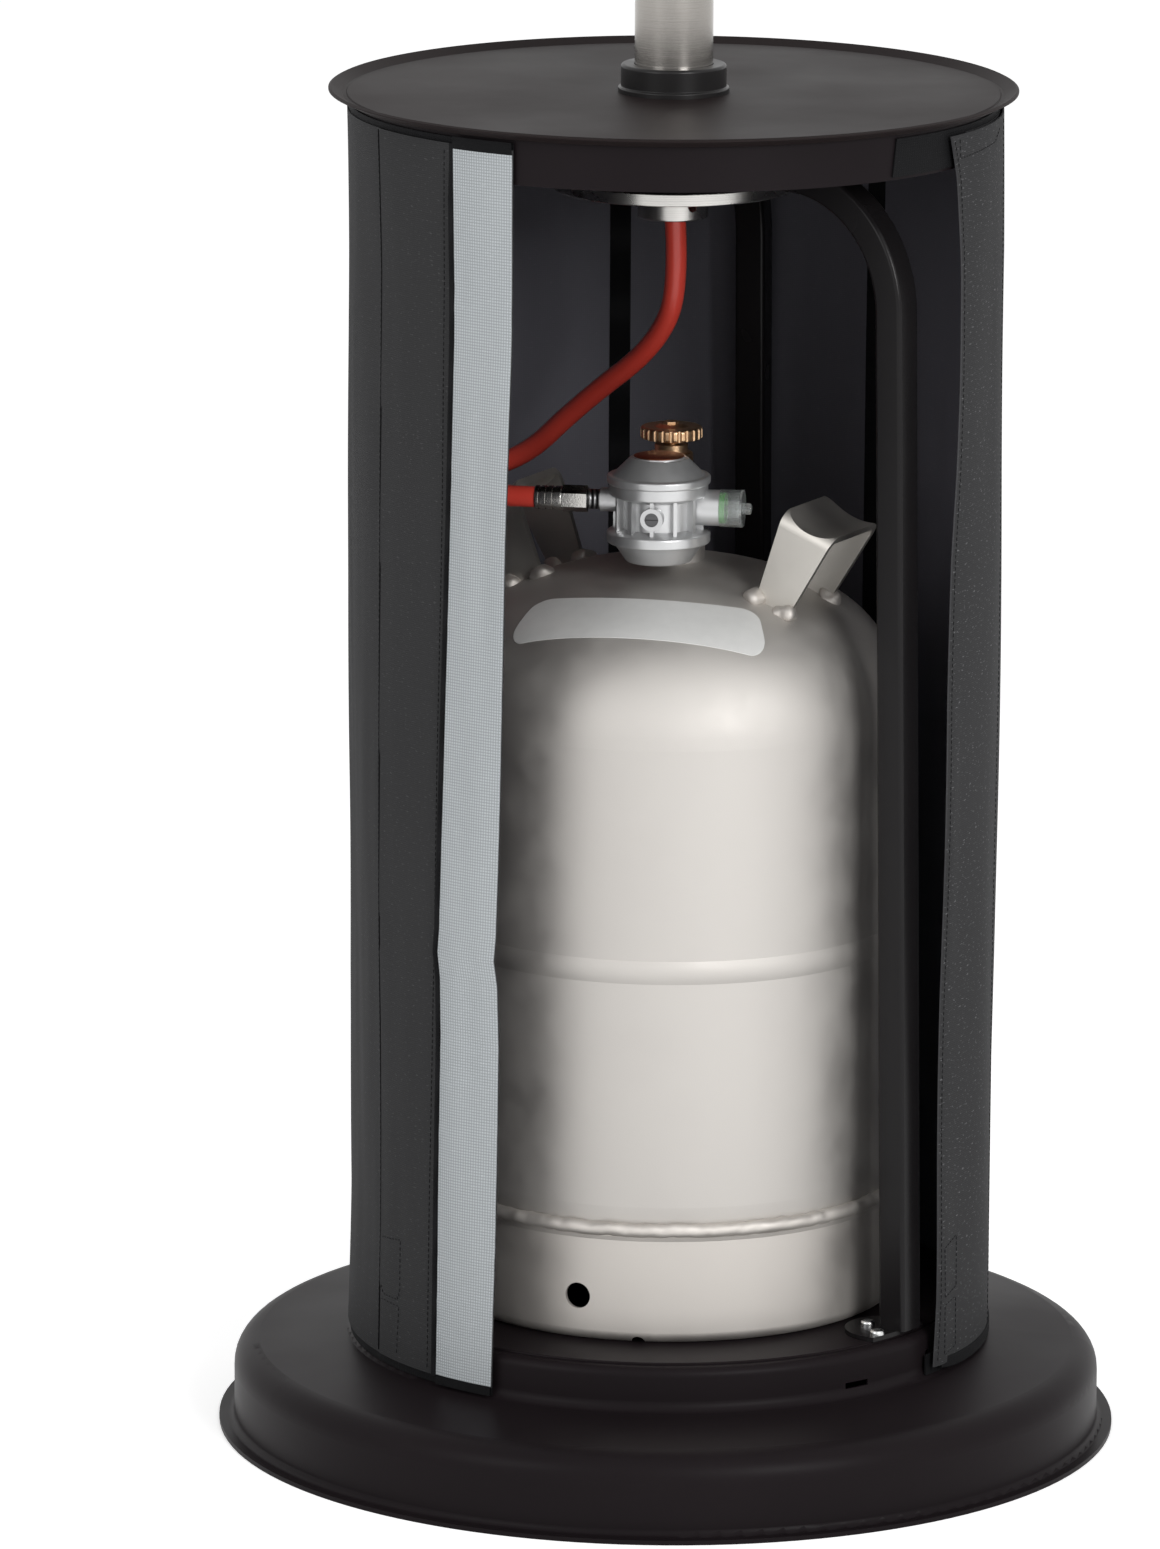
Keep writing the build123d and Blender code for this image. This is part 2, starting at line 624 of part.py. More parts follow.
def pole_screw_heights():
    """Heights of the screws that hold the two lengths of pole on their sleeve."""
    return (POLE_JOINT - POLE_SCREW_SPACING, POLE_JOINT + POLE_SCREW_SPACING)


def pole_drills():
    """Holes for the pole screws, at the back."""
    reach = POLE_RADIUS + 1
    return [
        Rot(0, 0, 180) * bar_forward(POLE_SCREW_RADIUS + SCREW_GAP, 0, reach, 0, height)
        for height in pole_screw_heights()
    ]


def make_pole_sleeve():
    """Inner sleeve across the joint of the pole."""
    radius = POLE_INNER - SEAT_GAP
    bottom = POLE_JOINT - SLEEVE_LENGTH / 2
    top = POLE_JOINT + SLEEVE_LENGTH / 2
    inner = radius - SLEEVE_WALL
    sleeve = turned([(inner, bottom), (radius, bottom), (radius, top), (inner, top)])
    for drill in pole_drills():
        sleeve -= drill
    return sleeve


def make_pole_screws():
    """Button-head screws at the back of the pole joint."""
    screws = []
    for height in pole_screw_heights():
        tip = POLE_INNER - SLEEVE_WALL - 4
        shank = bar_forward(POLE_SCREW_RADIUS, tip, POLE_RADIUS + SEAT_GAP, 0, height)
        head_end = POLE_RADIUS + SEAT_GAP + POLE_SCREW_HEAD_HEIGHT
        head = bar_forward(POLE_SCREW_HEAD_RADIUS, POLE_RADIUS + SEAT_GAP, head_end, 0, height)
        rim = head.edges().filter_by(GeomType.CIRCLE).group_by(Axis.Y)[0]
        head = fillet(rim, POLE_SCREW_HEAD_HEIGHT * 0.6)
        screws.append(Rot(0, 0, 180) * (shank + head))
    return screws


# Table


def make_table_top():
    """Round plate with a shallow groove and a raised, rolled lip."""
    lip_start = TABLE_RADIUS - TABLE_LIP_WIDTH
    groove_start = lip_start - TABLE_GROOVE_WIDTH
    hole = POLE_RADIUS + SEAT_GAP
    groove = TABLE_PLATE_TOP - TABLE_GROOVE_DEPTH
    return turned(
        [
            (hole, TABLE_PLATE_TOP),
            (groove_start, TABLE_PLATE_TOP),
            (groove_start + TABLE_GROOVE_DEPTH, groove),
            (lip_start, groove),
            (TABLE_RADIUS - TABLE_SHEET, TABLE_HEIGHT),
            (TABLE_RADIUS, TABLE_HEIGHT - TABLE_SHEET / 2),
            (TABLE_RADIUS, TABLE_HEIGHT - TABLE_SHEET),
            (lip_start, groove - TABLE_SHEET),
            (groove_start, groove - TABLE_SHEET),
            (groove_start - TABLE_GROOVE_DEPTH, TABLE_PLATE_BOTTOM),
            (hole, TABLE_PLATE_BOTTOM),
        ]
    )


def make_table_skirt():
    """Round band under the table that the cover fastens to."""
    inner = SKIRT_RADIUS - SKIRT_SHEET
    return turned(
        [
            (inner, SKIRT_BOTTOM),
            (SKIRT_RADIUS, SKIRT_BOTTOM),
            (SKIRT_RADIUS, TABLE_PLATE_BOTTOM),
            (inner, TABLE_PLATE_BOTTOM),
        ]
    )


def make_table_support():
    """Pressed cup between the mounting disc and the table, inside the leg ends."""
    sheet = SUPPORT_SHEET
    return turned(
        [
            (SUPPORT_CUP_RADIUS - sheet, DISC_TOP),
            (SUPPORT_CUP_RADIUS, DISC_TOP),
            (SUPPORT_CUP_RADIUS, TABLE_PLATE_BOTTOM - sheet),
            (SUPPORT_FLANGE_RADIUS, TABLE_PLATE_BOTTOM - sheet),
            (SUPPORT_FLANGE_RADIUS, TABLE_PLATE_BOTTOM),
            (SUPPORT_CUP_RADIUS - sheet, TABLE_PLATE_BOTTOM),
        ]
    )


def make_pole_collar():
    """Moulded collar that closes the table's hole round the pole."""
    bore = POLE_RADIUS + SEAT_GAP
    foot = TABLE_PLATE_TOP + COLLAR_FOOT_HEIGHT
    top = TABLE_PLATE_TOP + COLLAR_HEIGHT
    return turned(
        [
            (bore, TABLE_PLATE_TOP),
            (COLLAR_FOOT_RADIUS, TABLE_PLATE_TOP),
            (COLLAR_FOOT_RADIUS, foot),
            (COLLAR_RADIUS, foot),
            (COLLAR_RADIUS, top),
            (bore, top),
        ],
        {2: 1.0, 3: 0.6, 4: COLLAR_ROUND},
    )


# Cover


def make_skirt_band():
    """Loop band round the skirt, from beside the front opening round the back."""
    inner = SKIRT_RADIUS + CLOSE_GAP
    top = COVER_TOP + 4
    end = 360 + COVER_LEFT_AZIMUTH_TOP
    return sector(inner, inner + BAND_SHEET, top - SKIRT_BAND_HEIGHT, top, SKIRT_BAND_AZIMUTH, end)


def make_hem_band():
    """Band round the plinth's foot behind the cover's hem, its lower edge leaning into the cove."""
    face = outline(
        [
            (HEM_BAND_INNER, PLINTH_FOOT_HEIGHT + 3.4),
            (HEM_BAND_OUTER, PLINTH_FOOT_HEIGHT + 1.1),
            (HEM_BAND_OUTER, HEM_BAND_TOP),
            (HEM_BAND_INNER, HEM_BAND_TOP),
        ]
    )
    span = 360 + COVER_LEFT_AZIMUTH_HEM - HEM_BAND_AZIMUTH
    return Rot(0, 0, HEM_BAND_AZIMUTH - 90) * revolve(face, Axis.Z, span)


def make_main_cover():
    """Fabric wall from the right of the opening round the back to the closure strip on the left."""
    wall = sector(COVER_INNER_RADIUS, COVER_RADIUS, COVER_HEM, COVER_TOP, COVER_RIGHT_AZIMUTH, 360 - 60)
    left = slanted_wall(
        COVER_INNER_RADIUS,
        COVER_RADIUS,
        COVER_HEM,
        COVER_TOP,
        (-62, COVER_LEFT_AZIMUTH_HEM),
        (-62, COVER_LEFT_AZIMUTH_TOP),
    )
    return wall + left


def strip_azimuths(radius, outer_azimuth):
    """Azimuths of the strip's two edges, from the edge at the opening."""
    return (outer_azimuth - math.degrees(STRIP_WIDTH / radius), outer_azimuth)


def make_closure_strip():
    """Light strip on the cover's left free edge, which the door's edge fastens to."""
    return slanted_wall(
        STRIP_INNER,
        STRIP_OUTER,
        COVER_HEM + STRIP_LOW_MARGIN,
        COVER_TOP - STRIP_TOP_MARGIN,
        strip_azimuths(STRIP_OUTER, COVER_LEFT_AZIMUTH_HEM),
        strip_azimuths(STRIP_OUTER, COVER_LEFT_AZIMUTH_TOP),
    )


def make_strip_tabs():
    """Black tabs above and below the closure strip, where it is folded over."""
    top_edges = strip_azimuths(STRIP_OUTER, COVER_LEFT_AZIMUTH_TOP)
    low_edges = strip_azimuths(STRIP_OUTER, COVER_LEFT_AZIMUTH_HEM)
    top_start = COVER_TOP - STRIP_TOP_MARGIN
    low_end = COVER_HEM + STRIP_LOW_MARGIN
    top = sector(STRIP_INNER, STRIP_OUTER, top_start, top_start + STRIP_TAB_LENGTH + 1.5, *top_edges)
    low = sector(STRIP_INNER, STRIP_OUTER, low_end - STRIP_TAB_LENGTH, low_end, *low_edges)
    return [top, low]


def make_piping():
    """Raised black piping where the closure strip is sewn to the cover."""
    width = math.degrees(2 * PIPING_RADIUS / COVER_RADIUS)
    hem = strip_azimuths(STRIP_OUTER, COVER_LEFT_AZIMUTH_HEM)[0] - 0.1
    top = strip_azimuths(STRIP_OUTER, COVER_LEFT_AZIMUTH_TOP)[0] - 0.1
    outer = COVER_RADIUS + 2 * PIPING_RADIUS
    return slanted_wall(STRIP_INNER, outer, COVER_HEM, COVER_TOP, (hem - width, hem), (top - width, top))


def make_seam_tapes():
    """Black tapes over the two seams inside the cover."""
    half = math.degrees(TAPE_WIDTH / 2 / COVER_INNER_RADIUS)
    outer = COVER_INNER_RADIUS - CLOSE_GAP
    bottom = HEM_BAND_TOP + 4
    top = COVER_TOP - SKIRT_BAND_HEIGHT
    return [
        sector(outer - TAPE_SHEET, outer, bottom, top, azimuth - half, azimuth + half)
        for azimuth in TAPE_AZIMUTHS
    ]


def make_cover_door():
    """Right-hand flap of the cover with its leaning free edge, lying back on the cover's right side."""
    joint = DOOR_EDGE_AZIMUTH_TOP + 6
    wall = sector(DOOR_INNER, DOOR_RADIUS, COVER_HEM, COVER_TOP, joint, DOOR_END_AZIMUTH)
    edge = slanted_wall(
        DOOR_INNER,
        DOOR_RADIUS,
        COVER_HEM,
        COVER_TOP,
        (DOOR_EDGE_AZIMUTH_HEM, joint + 2),
        (DOOR_EDGE_AZIMUTH_TOP, joint + 2),
    )
    return wall + edge


# Gas bottle


def head_centre(knuckle, rise):
    """Crown radius, and the angle where the crown meets the knuckle, of a dished head."""
    ring = BOTTLE_RADIUS - knuckle
    crown = (ring**2 + rise**2 - knuckle**2) / (2 * (rise - knuckle))
    angle = math.degrees(math.atan2(crown - rise, ring))
    return crown, angle


def head_edges(offset, bore):
    """Crown and knuckle arcs of the upper head, moved outwards by the offset, from the bore to the wall."""
    crown, angle = head_centre(BOTTLE_KNUCKLE, BOTTLE_TOP - BOTTLE_KNUCKLE_HEIGHT)
    crown_height = BOTTLE_TOP - crown
    radius = crown + offset
    start = math.degrees(math.acos(bore / radius))
    first = arc((0, crown_height), radius, start, angle)
    second = arc((BOTTLE_RADIUS - BOTTLE_KNUCKLE, BOTTLE_KNUCKLE_HEIGHT), BOTTLE_KNUCKLE + offset, angle, 0)
    return first, second


def low_head_edges(offset):
    """Knuckle and crown arcs of the lower head, from the wall to the axis."""
    crown, angle = head_centre(BOTTLE_LOW_KNUCKLE, BOTTLE_LOW_KNUCKLE_HEIGHT - BOTTLE_BOTTOM)
    crown_height = BOTTLE_BOTTOM + crown
    ring = BOTTLE_RADIUS - BOTTLE_LOW_KNUCKLE
    first = arc((ring, BOTTLE_LOW_KNUCKLE_HEIGHT), BOTTLE_LOW_KNUCKLE + offset, 0, -angle)
    second = arc((0, crown_height), crown + offset, -angle, -90)
    return first, second


def make_bottle_shell():
    """Drawn bottle: two dished heads, a straight wall and the bead round its middle."""
    edges = []
    half = BOTTLE_BEAD_WIDTH / 2
    outer_top = head_edges(0, NECK_BORE_RADIUS)
    outer_low = low_head_edges(0)
    inner_top = head_edges(-BOTTLE_WALL, NECK_BORE_RADIUS)
    inner_low = low_head_edges(-BOTTLE_WALL)
    inner_radius = BOTTLE_RADIUS - BOTTLE_WALL
    bead_top = (BOTTLE_RADIUS, 0, BOTTLE_BEAD_HEIGHT + half)
    bead_crown = (BOTTLE_RADIUS + BOTTLE_BEAD_RISE, 0, BOTTLE_BEAD_HEIGHT)
    bead_low = (BOTTLE_RADIUS, 0, BOTTLE_BEAD_HEIGHT - half)
    edges += outer_top
    edges.append(Line((BOTTLE_RADIUS, 0, BOTTLE_KNUCKLE_HEIGHT), bead_top))
    edges.append(ThreePointArc(bead_top, bead_crown, bead_low))
    edges.append(Line(bead_low, (BOTTLE_RADIUS, 0, BOTTLE_LOW_KNUCKLE_HEIGHT)))
    edges += outer_low
    edges.append(Line(outer_low[1] @ 1, inner_low[1] @ 1))
    edges += inner_low
    low = (inner_radius, 0, BOTTLE_LOW_KNUCKLE_HEIGHT)
    high = (inner_radius, 0, BOTTLE_KNUCKLE_HEIGHT)
    edges.append(Line(low, high))
    edges += inner_top
    edges.append(Line(inner_top[0] @ 0, outer_top[0] @ 0))
    return revolve(Face(Wire([edge.edge() for edge in edges])), Axis.Z, 360)


def make_foot_ring():
    """Rolled ring that the bottle stands on, with its curled foot, drain hole and foot notch."""
    inner = FOOT_RING_RADIUS - FOOT_RING_SHEET
    wall_inner = BOTTLE_RADIUS + CLOSE_GAP
    neck = FOOT_RING_TOP - 8
    ring = turned(
        [
            (inner - FOOT_RING_CURL, BOTTLE_FLOOR),
            (FOOT_RING_RADIUS, BOTTLE_FLOOR),
            (FOOT_RING_RADIUS, neck),
            (FOOT_RING_RADIUS + 1, neck + 3),
            (FOOT_RING_RADIUS + 1, FOOT_RING_TOP),
            (wall_inner - 6, FOOT_RING_TOP),
            (inner, neck - 12),
            (inner, BOTTLE_FLOOR + FOOT_RING_SHEET),
            (inner - FOOT_RING_CURL, BOTTLE_FLOOR + FOOT_RING_SHEET),
        ],
        {1: FOOT_RING_CURL, 7: FOOT_RING_CURL - FOOT_RING_SHEET},
    )
    ring -= bottle_body()
    hole = bar_forward(FOOT_RING_HOLE_RADIUS, inner - 10, FOOT_RING_RADIUS + 5, 0, FOOT_RING_HOLE_HEIGHT)
    ring -= at_azimuth(FOOT_RING_HOLE_AZIMUTH, hole)
    notch = bar_forward(4.5, inner - 20, FOOT_RING_RADIUS + 5, 0, BOTTLE_FLOOR)
    return ring - at_azimuth(-7, notch)


def bottle_body():
    """Bottle as one filled body, to trim what is welded to it."""
    top = head_edges(0, 0.001)
    low = low_head_edges(0)
    corner = (0, 0, (top[0] @ 0).Z)
    wall = Line(top[1] @ 1, low[0] @ 0)
    edges = [*top, wall, *low, Line(low[1] @ 1, corner), Line(corner, top[0] @ 0)]
    return revolve(Face(Wire([edge.edge() for edge in edges])), Axis.Z, 360)


def make_bottle_neck():
    """Neck boss on the crown, bored for the valve."""
    boss = turned(
        [
            (NECK_BORE_RADIUS, BOTTLE_TOP - 8),
            (NECK_RADIUS, BOTTLE_TOP - 8),
            (NECK_RADIUS, NECK_TOP),
            (NECK_BORE_RADIUS, NECK_TOP),
        ],
        {2: 2.0},
    )
    return boss - bottle_body()


def make_handles():
    """Two bent straps with dished grips, flared upwards and leaning outwards, beside the valve."""
    foot = BOTTLE_KNUCKLE_HEIGHT + 30
    bend = HANDLE_BEND

    def arch(foot_half, top_half, top, radius):
        """Trapezium in the handle's own upright plane."""
        corners = [(-foot_half, 0, foot), (foot_half, 0, foot), (top_half, 0, top), (-top_half, 0, top)]
        return Face(Wire(FilletPolyline(*corners, radius=[0, 0, radius, radius], close=True).edges()))

    slope = (HANDLE_FOOT_SPAN - HANDLE_TOP_SPAN) / 2 / (HANDLE_TOP - foot)
    side = HANDLE_THICKNESS * math.hypot(1, slope)
    outer = arch(HANDLE_FOOT_SPAN / 2, HANDLE_TOP_SPAN / 2, HANDLE_TOP, bend)
    inner_top = HANDLE_TOP_SPAN / 2 - side + HANDLE_THICKNESS * slope
    inner = arch(
        HANDLE_FOOT_SPAN / 2 - side, inner_top, HANDLE_TOP - HANDLE_THICKNESS, bend - HANDLE_THICKNESS
    )
    # The grip is dished across its width, so both its faces follow one cylinder's axis.
    axis_height = HANDLE_TOP - HANDLE_DISH + HANDLE_DISH_RADIUS
    grip_face = Pos(0, 0, axis_height) * Rot(0, 90, 0) * Cylinder(HANDLE_DISH_RADIUS, 200)
    grip_back = Pos(0, 0, axis_height) * Rot(0, 90, 0) * Cylinder(HANDLE_DISH_RADIUS + HANDLE_THICKNESS, 200)
    flare = Face(
        Wire(
            Polyline(
                (0, HANDLE_FOOT_INNER, foot),
                (0, HANDLE_FOOT_INNER, HANDLE_SEAT_HEIGHT),
                (0, HANDLE_TOP_INNER, HANDLE_TOP + 1),
                (0, -HANDLE_TOP_OUTER, HANDLE_TOP + 1),
                (0, -HANDLE_FOOT_OUTER, HANDLE_SEAT_HEIGHT),
                (0, -HANDLE_FOOT_OUTER, foot),
                close=True,
            ).edges()
        )
    )
    block = extrude(outer, HANDLE_TOP_SPAN, both=True) & extrude(flare, HANDLE_TOP_SPAN, both=True)
    hollow = extrude(inner, HANDLE_TOP_SPAN * 2, both=True) - grip_back
    strap = (block - grip_face) - hollow
    strap = Rot(HANDLE_LEAN, 0, 0) * Pos(0, 0, -HANDLE_SEAT_HEIGHT) * strap
    strap = Pos(0, -HANDLE_RADIUS, HANDLE_SEAT_HEIGHT) * strap
    body = bottle_body()
    handles = []
    for azimuth in HANDLE_AZIMUTHS:
        solids = (at_azimuth(azimuth, strap) - body).solids()
        handles.append(max(solids, key=lambda solid: solid.volume))
    return handles


def make_label():
    """Curved label on the front of the shoulder, left bare."""
    inner_edges = head_edges(CLOSE_GAP, 5.0)
    outer_edges = head_edges(CLOSE_GAP + LABEL_SHEET, 5.0)
    loop = [
        *outer_edges,
        Line(outer_edges[1] @ 1, inner_edges[1] @ 1),
        *inner_edges,
        Line(inner_edges[0] @ 0, outer_edges[0] @ 0),
    ]
    skin = revolve(Face(Wire([edge.edge() for edge in loop])), Axis.Z, 360)
    band = sector(
        LABEL_ARC_RADIUS - LABEL_WIDTH / 2,
        LABEL_ARC_RADIUS + LABEL_WIDTH / 2,
        BOTTLE_KNUCKLE_HEIGHT,
        BOTTLE_TOP + 20,
        -LABEL_HALF_ANGLE,
        LABEL_HALF_ANGLE,
    )
    band = fillet(band.edges().filter_by(Axis.Z), LABEL_ROUND)
    band = Pos(0, LABEL_ARC_RADIUS - LABEL_MIDDLE, 0) * band
    return skin & at_azimuth(LABEL_AZIMUTH, band)


# Bottle valve


def make_valve_body():
    """Brass valve on the neck: body, bonnet, and the outlet that the regulator screws to."""
    seat = NECK_TOP - 12
    body = turned(
        [
            (0, seat),
            (NECK_BORE_RADIUS - CLOSE_GAP, seat),
            (NECK_BORE_RADIUS - CLOSE_GAP, NECK_TOP),
            (VALVE_RADIUS, NECK_TOP),
            (VALVE_RADIUS, VALVE_TOP),
            (BONNET_RADIUS, VALVE_TOP),
            (BONNET_RADIUS, VALVE_TOP + BONNET_HEIGHT),
            (SPINDLE_RADIUS + SHAFT_GAP, VALVE_TOP + BONNET_HEIGHT),
            (SPINDLE_RADIUS + SHAFT_GAP, VALVE_OUTLET_HEIGHT + VALVE_OUTLET_RADIUS),
            (0, VALVE_OUTLET_HEIGHT + VALVE_OUTLET_RADIUS),
        ],
        {4: 2.0},
    )
    outlet = bar_forward(VALVE_OUTLET_RADIUS, 0, VALVE_OUTLET_REACH, 0, VALVE_OUTLET_HEIGHT)
    outlet -= pin(SPINDLE_RADIUS + SHAFT_GAP, VALVE_OUTLET_HEIGHT + VALVE_OUTLET_RADIUS, VALVE_TOP)
    return at_azimuth(REGULATOR_AZIMUTH, outlet) + body


def make_valve_spindle():
    """Spindle that the handwheel is fixed to."""
    bottom = VALVE_OUTLET_HEIGHT + VALVE_OUTLET_RADIUS + 2
    spindle = pin(SPINDLE_RADIUS, bottom, HANDWHEEL_TOP)
    return spindle + pin(SPINDLE_RADIUS * 0.7, HANDWHEEL_TOP, HANDWHEEL_TOP + HANDWHEEL_NUT_HEIGHT)


def make_handwheel():
    """Scalloped brass handwheel with a crowned top."""
    bore = SPINDLE_RADIUS
    wheel = turned(
        [
            (bore, HANDWHEEL_BOTTOM - HANDWHEEL_HUB_DROP),
            (HANDWHEEL_HUB_RADIUS, HANDWHEEL_BOTTOM - HANDWHEEL_HUB_DROP),
            (HANDWHEEL_HUB_RADIUS + 1, HANDWHEEL_BOTTOM),
            (HANDWHEEL_RADIUS, HANDWHEEL_BOTTOM),
            (HANDWHEEL_RADIUS, HANDWHEEL_TOP - 1.5),
            (HANDWHEEL_HUB_RADIUS + 4, HANDWHEEL_TOP - 1.5),
            (HANDWHEEL_HUB_RADIUS, HANDWHEEL_TOP),
            (bore, HANDWHEEL_TOP),
        ],
        {3: 1.6, 4: 2.2},
    )
    step = 360 / HANDWHEEL_SCALLOPS
    middle = -HANDWHEEL_RADIUS - HANDWHEEL_SCALLOP_RADIUS * 0.4
    groove = pin(HANDWHEEL_SCALLOP_RADIUS, HANDWHEEL_BOTTOM - 1, HANDWHEEL_TOP + 1, 0, middle)
    for number in range(HANDWHEEL_SCALLOPS):
        wheel -= at_azimuth(number * step, groove)
    return wheel


def make_handwheel_nut():
    """Nut that holds the handwheel on the spindle."""
    nut = extrude(RegularPolygon(HANDWHEEL_NUT_RADIUS, 6), HANDWHEEL_NUT_HEIGHT)
    return Pos(0, 0, HANDWHEEL_TOP) * nut - pin(SPINDLE_RADIUS * 0.7, HANDWHEEL_TOP - 1, HANDWHEEL_TOP + 9)


# Regulator


def regulator_place(shape):
    """Set a shape, modelled round the regulator's own axis, in front of the valve."""
    return at_azimuth(REGULATOR_AZIMUTH, Pos(0, -REGULATOR_DISTANCE, 0) * shape)


def make_regulator_body():
    """Die-cast body: bowl, lower and upper flange, ribs, and the bosses for its five connections."""
    low_start, low_end = REGULATOR_LOWER_FLANGE
    up_start, up_end = REGULATOR_UPPER_FLANGE
    body = turned(
        [
            (0, REGULATOR_BOTTOM),
            (REGULATOR_BOWL_RADIUS, REGULATOR_BOTTOM),
            (REGULATOR_FLANGE_RADIUS - 4, low_start),
            (REGULATOR_FLANGE_RADIUS, low_start),
            (REGULATOR_FLANGE_RADIUS, low_end),
            (REGULATOR_BODY_RADIUS, low_end + 3),
            (REGULATOR_BODY_RADIUS, up_start - 3),
            (REGULATOR_FLANGE_RADIUS - 1.5, up_start),
            (REGULATOR_FLANGE_RADIUS - 1.5, up_end),
            (0, up_end),
        ],
        {1: 3.0, 3: REGULATOR_ROUND, 4: REGULATOR_ROUND, 7: REGULATOR_ROUND},
    )
    rib = Pos(0, -REGULATOR_RIB_RADIUS / 2, (low_end + up_start) / 2) * Box(
        REGULATOR_RIB_WIDTH, REGULATOR_RIB_RADIUS, up_start - low_end + 2
    )
    for number in range(REGULATOR_RIBS):
        body += at_azimuth(number * 360 / REGULATOR_RIBS, rib)
    body += bar_sideways(SIGHT_BOSS_RADIUS, 0, SIGHT_BOSS_REACH, 0, SIGHT_HEIGHT)
    body += bar_sideways(OUTLET_NECK_RADIUS, -OUTLET_NECK_REACH, 0, 0, OUTLET_HEIGHT)
    body += bar_forward(PORT_RADIUS, 0, PORT_REACH, 0, PORT_HEIGHT)
    port_bore = PORT_PLUG_RADIUS + CLOSE_GAP
    body -= bar_forward(port_bore, PORT_REACH - PORT_DEPTH, PORT_REACH + 1, 0, PORT_HEIGHT)
    inlet_reach = REGULATOR_DISTANCE - VALVE_OUTLET_REACH
    body += Rot(0, 0, 180) * bar_forward(VALVE_OUTLET_RADIUS, 0, inlet_reach, 0, VALVE_OUTLET_HEIGHT)
    sight_bore = BUTTON_HEAD_RADIUS + 1
    body -= bar_sideways(sight_bore, SIGHT_BOSS_REACH - 6, SIGHT_BOSS_REACH + 1, 0, SIGHT_HEIGHT)
    return regulator_place(body)


def make_regulator_cap():
    """Diaphragm cap: a cone with a flat top on a flange, and the thin disc on its top."""
    base = REGULATOR_UPPER_FLANGE[1]
    cap = turned(
        [
            (0, base),
            (REGULATOR_FLANGE_RADIUS, base),
            (REGULATOR_FLANGE_RADIUS, REGULATOR_CAP_FLANGE_TOP),
            (REGULATOR_FLANGE_RADIUS - 3.5, REGULATOR_CAP_FLANGE_TOP),
            (REGULATOR_CAP_RADIUS, REGULATOR_CAP_TOP),
            (0, REGULATOR_CAP_TOP),
        ],
        {1: REGULATOR_ROUND, 2: REGULATOR_ROUND, 3: REGULATOR_ROUND, 4: REGULATOR_ROUND},
    )
    disc = pin(REGULATOR_CAP_RADIUS - 1.6, REGULATOR_CAP_TOP, REGULATOR_CAP_TOP + REGULATOR_DISC_SHEET)
    return regulator_place(cap + disc)


def make_port_plug():
    """Slotted screw that closes the test port."""
    plug = bar_forward(PORT_PLUG_RADIUS, PORT_REACH - PORT_DEPTH, PORT_REACH - 1.2, 0, PORT_HEIGHT)
    slot = Pos(0, -PORT_REACH + 1.2, PORT_HEIGHT) * Box(2 * PORT_PLUG_RADIUS + 1, 2, 1)
    return regulator_place(plug - slot)


def make_union_nut():
    """Round nut over the joint of valve and regulator."""
    middle = VALVE_OUTLET_REACH
    ring = extrude(RegularPolygon(UNION_NUT_RADIUS, 6), UNION_NUT_LENGTH)
    nut = Pos(0, -middle + UNION_NUT_LENGTH / 2 - 1, VALVE_OUTLET_HEIGHT) * Rot(90, 0, 0) * ring
    nut -= bar_forward(VALVE_OUTLET_RADIUS + CLOSE_GAP, 0, REGULATOR_DISTANCE, 0, VALVE_OUTLET_HEIGHT)
    nut -= pin(VALVE_RADIUS + CLOSE_GAP, NECK_TOP, VALVE_TOP)
    low = REGULATOR_LOWER_FLANGE[1] + 3 + SEAT_GAP
    high = REGULATOR_UPPER_FLANGE[0] - 3 - SEAT_GAP
    room = pin(REGULATOR_RIB_RADIUS + SEAT_GAP, low, high)
    room += pin(REGULATOR_FLANGE_RADIUS + SEAT_GAP, REGULATOR_BOTTOM, low)
    room += pin(REGULATOR_FLANGE_RADIUS + SEAT_GAP, high, REGULATOR_CAP_TOP)
    nut -= Pos(0, -REGULATOR_DISTANCE, 0) * room
    solids = at_azimuth(REGULATOR_AZIMUTH, nut).solids()
    return max(solids, key=lambda solid: solid.volume)


def outlet_bar(radius, near, far):
    """Round bar on the regulator's outlet, between two distances from the regulator's axis."""
    return bar_sideways(radius, -far, -near, 0, OUTLET_HEIGHT)


def make_outlet_nipple():
    """Threaded nipple between the regulator and the hose nut."""
    nipple = outlet_bar(NIPPLE_RADIUS, OUTLET_NECK_REACH, OUTLET_NECK_REACH + NIPPLE_LENGTH)
    return regulator_place(nipple)


def make_hose_nut():
    """Hexagon nut of the hose."""
    start = HOSE_NUT_REACH
    end = start + HOSE_NUT_LENGTH
    blank = extrude(RegularPolygon(HOSE_NUT_FLATS / 2, 6, major_radius=False), HOSE_NUT_LENGTH)
    nut = Pos(-end, 0, OUTLET_HEIGHT) * Rot(0, 90, 0) * blank
    nut -= outlet_bar(NIPPLE_RADIUS + CLOSE_GAP, start - 1, OUTLET_NECK_REACH + NIPPLE_LENGTH)
    return regulator_place(nut)


def ferrule_end():
    """Distance of the ferrule's far end from the regulator's axis."""
    return HOSE_NUT_REACH + HOSE_NUT_LENGTH + FERRULE_LENGTH


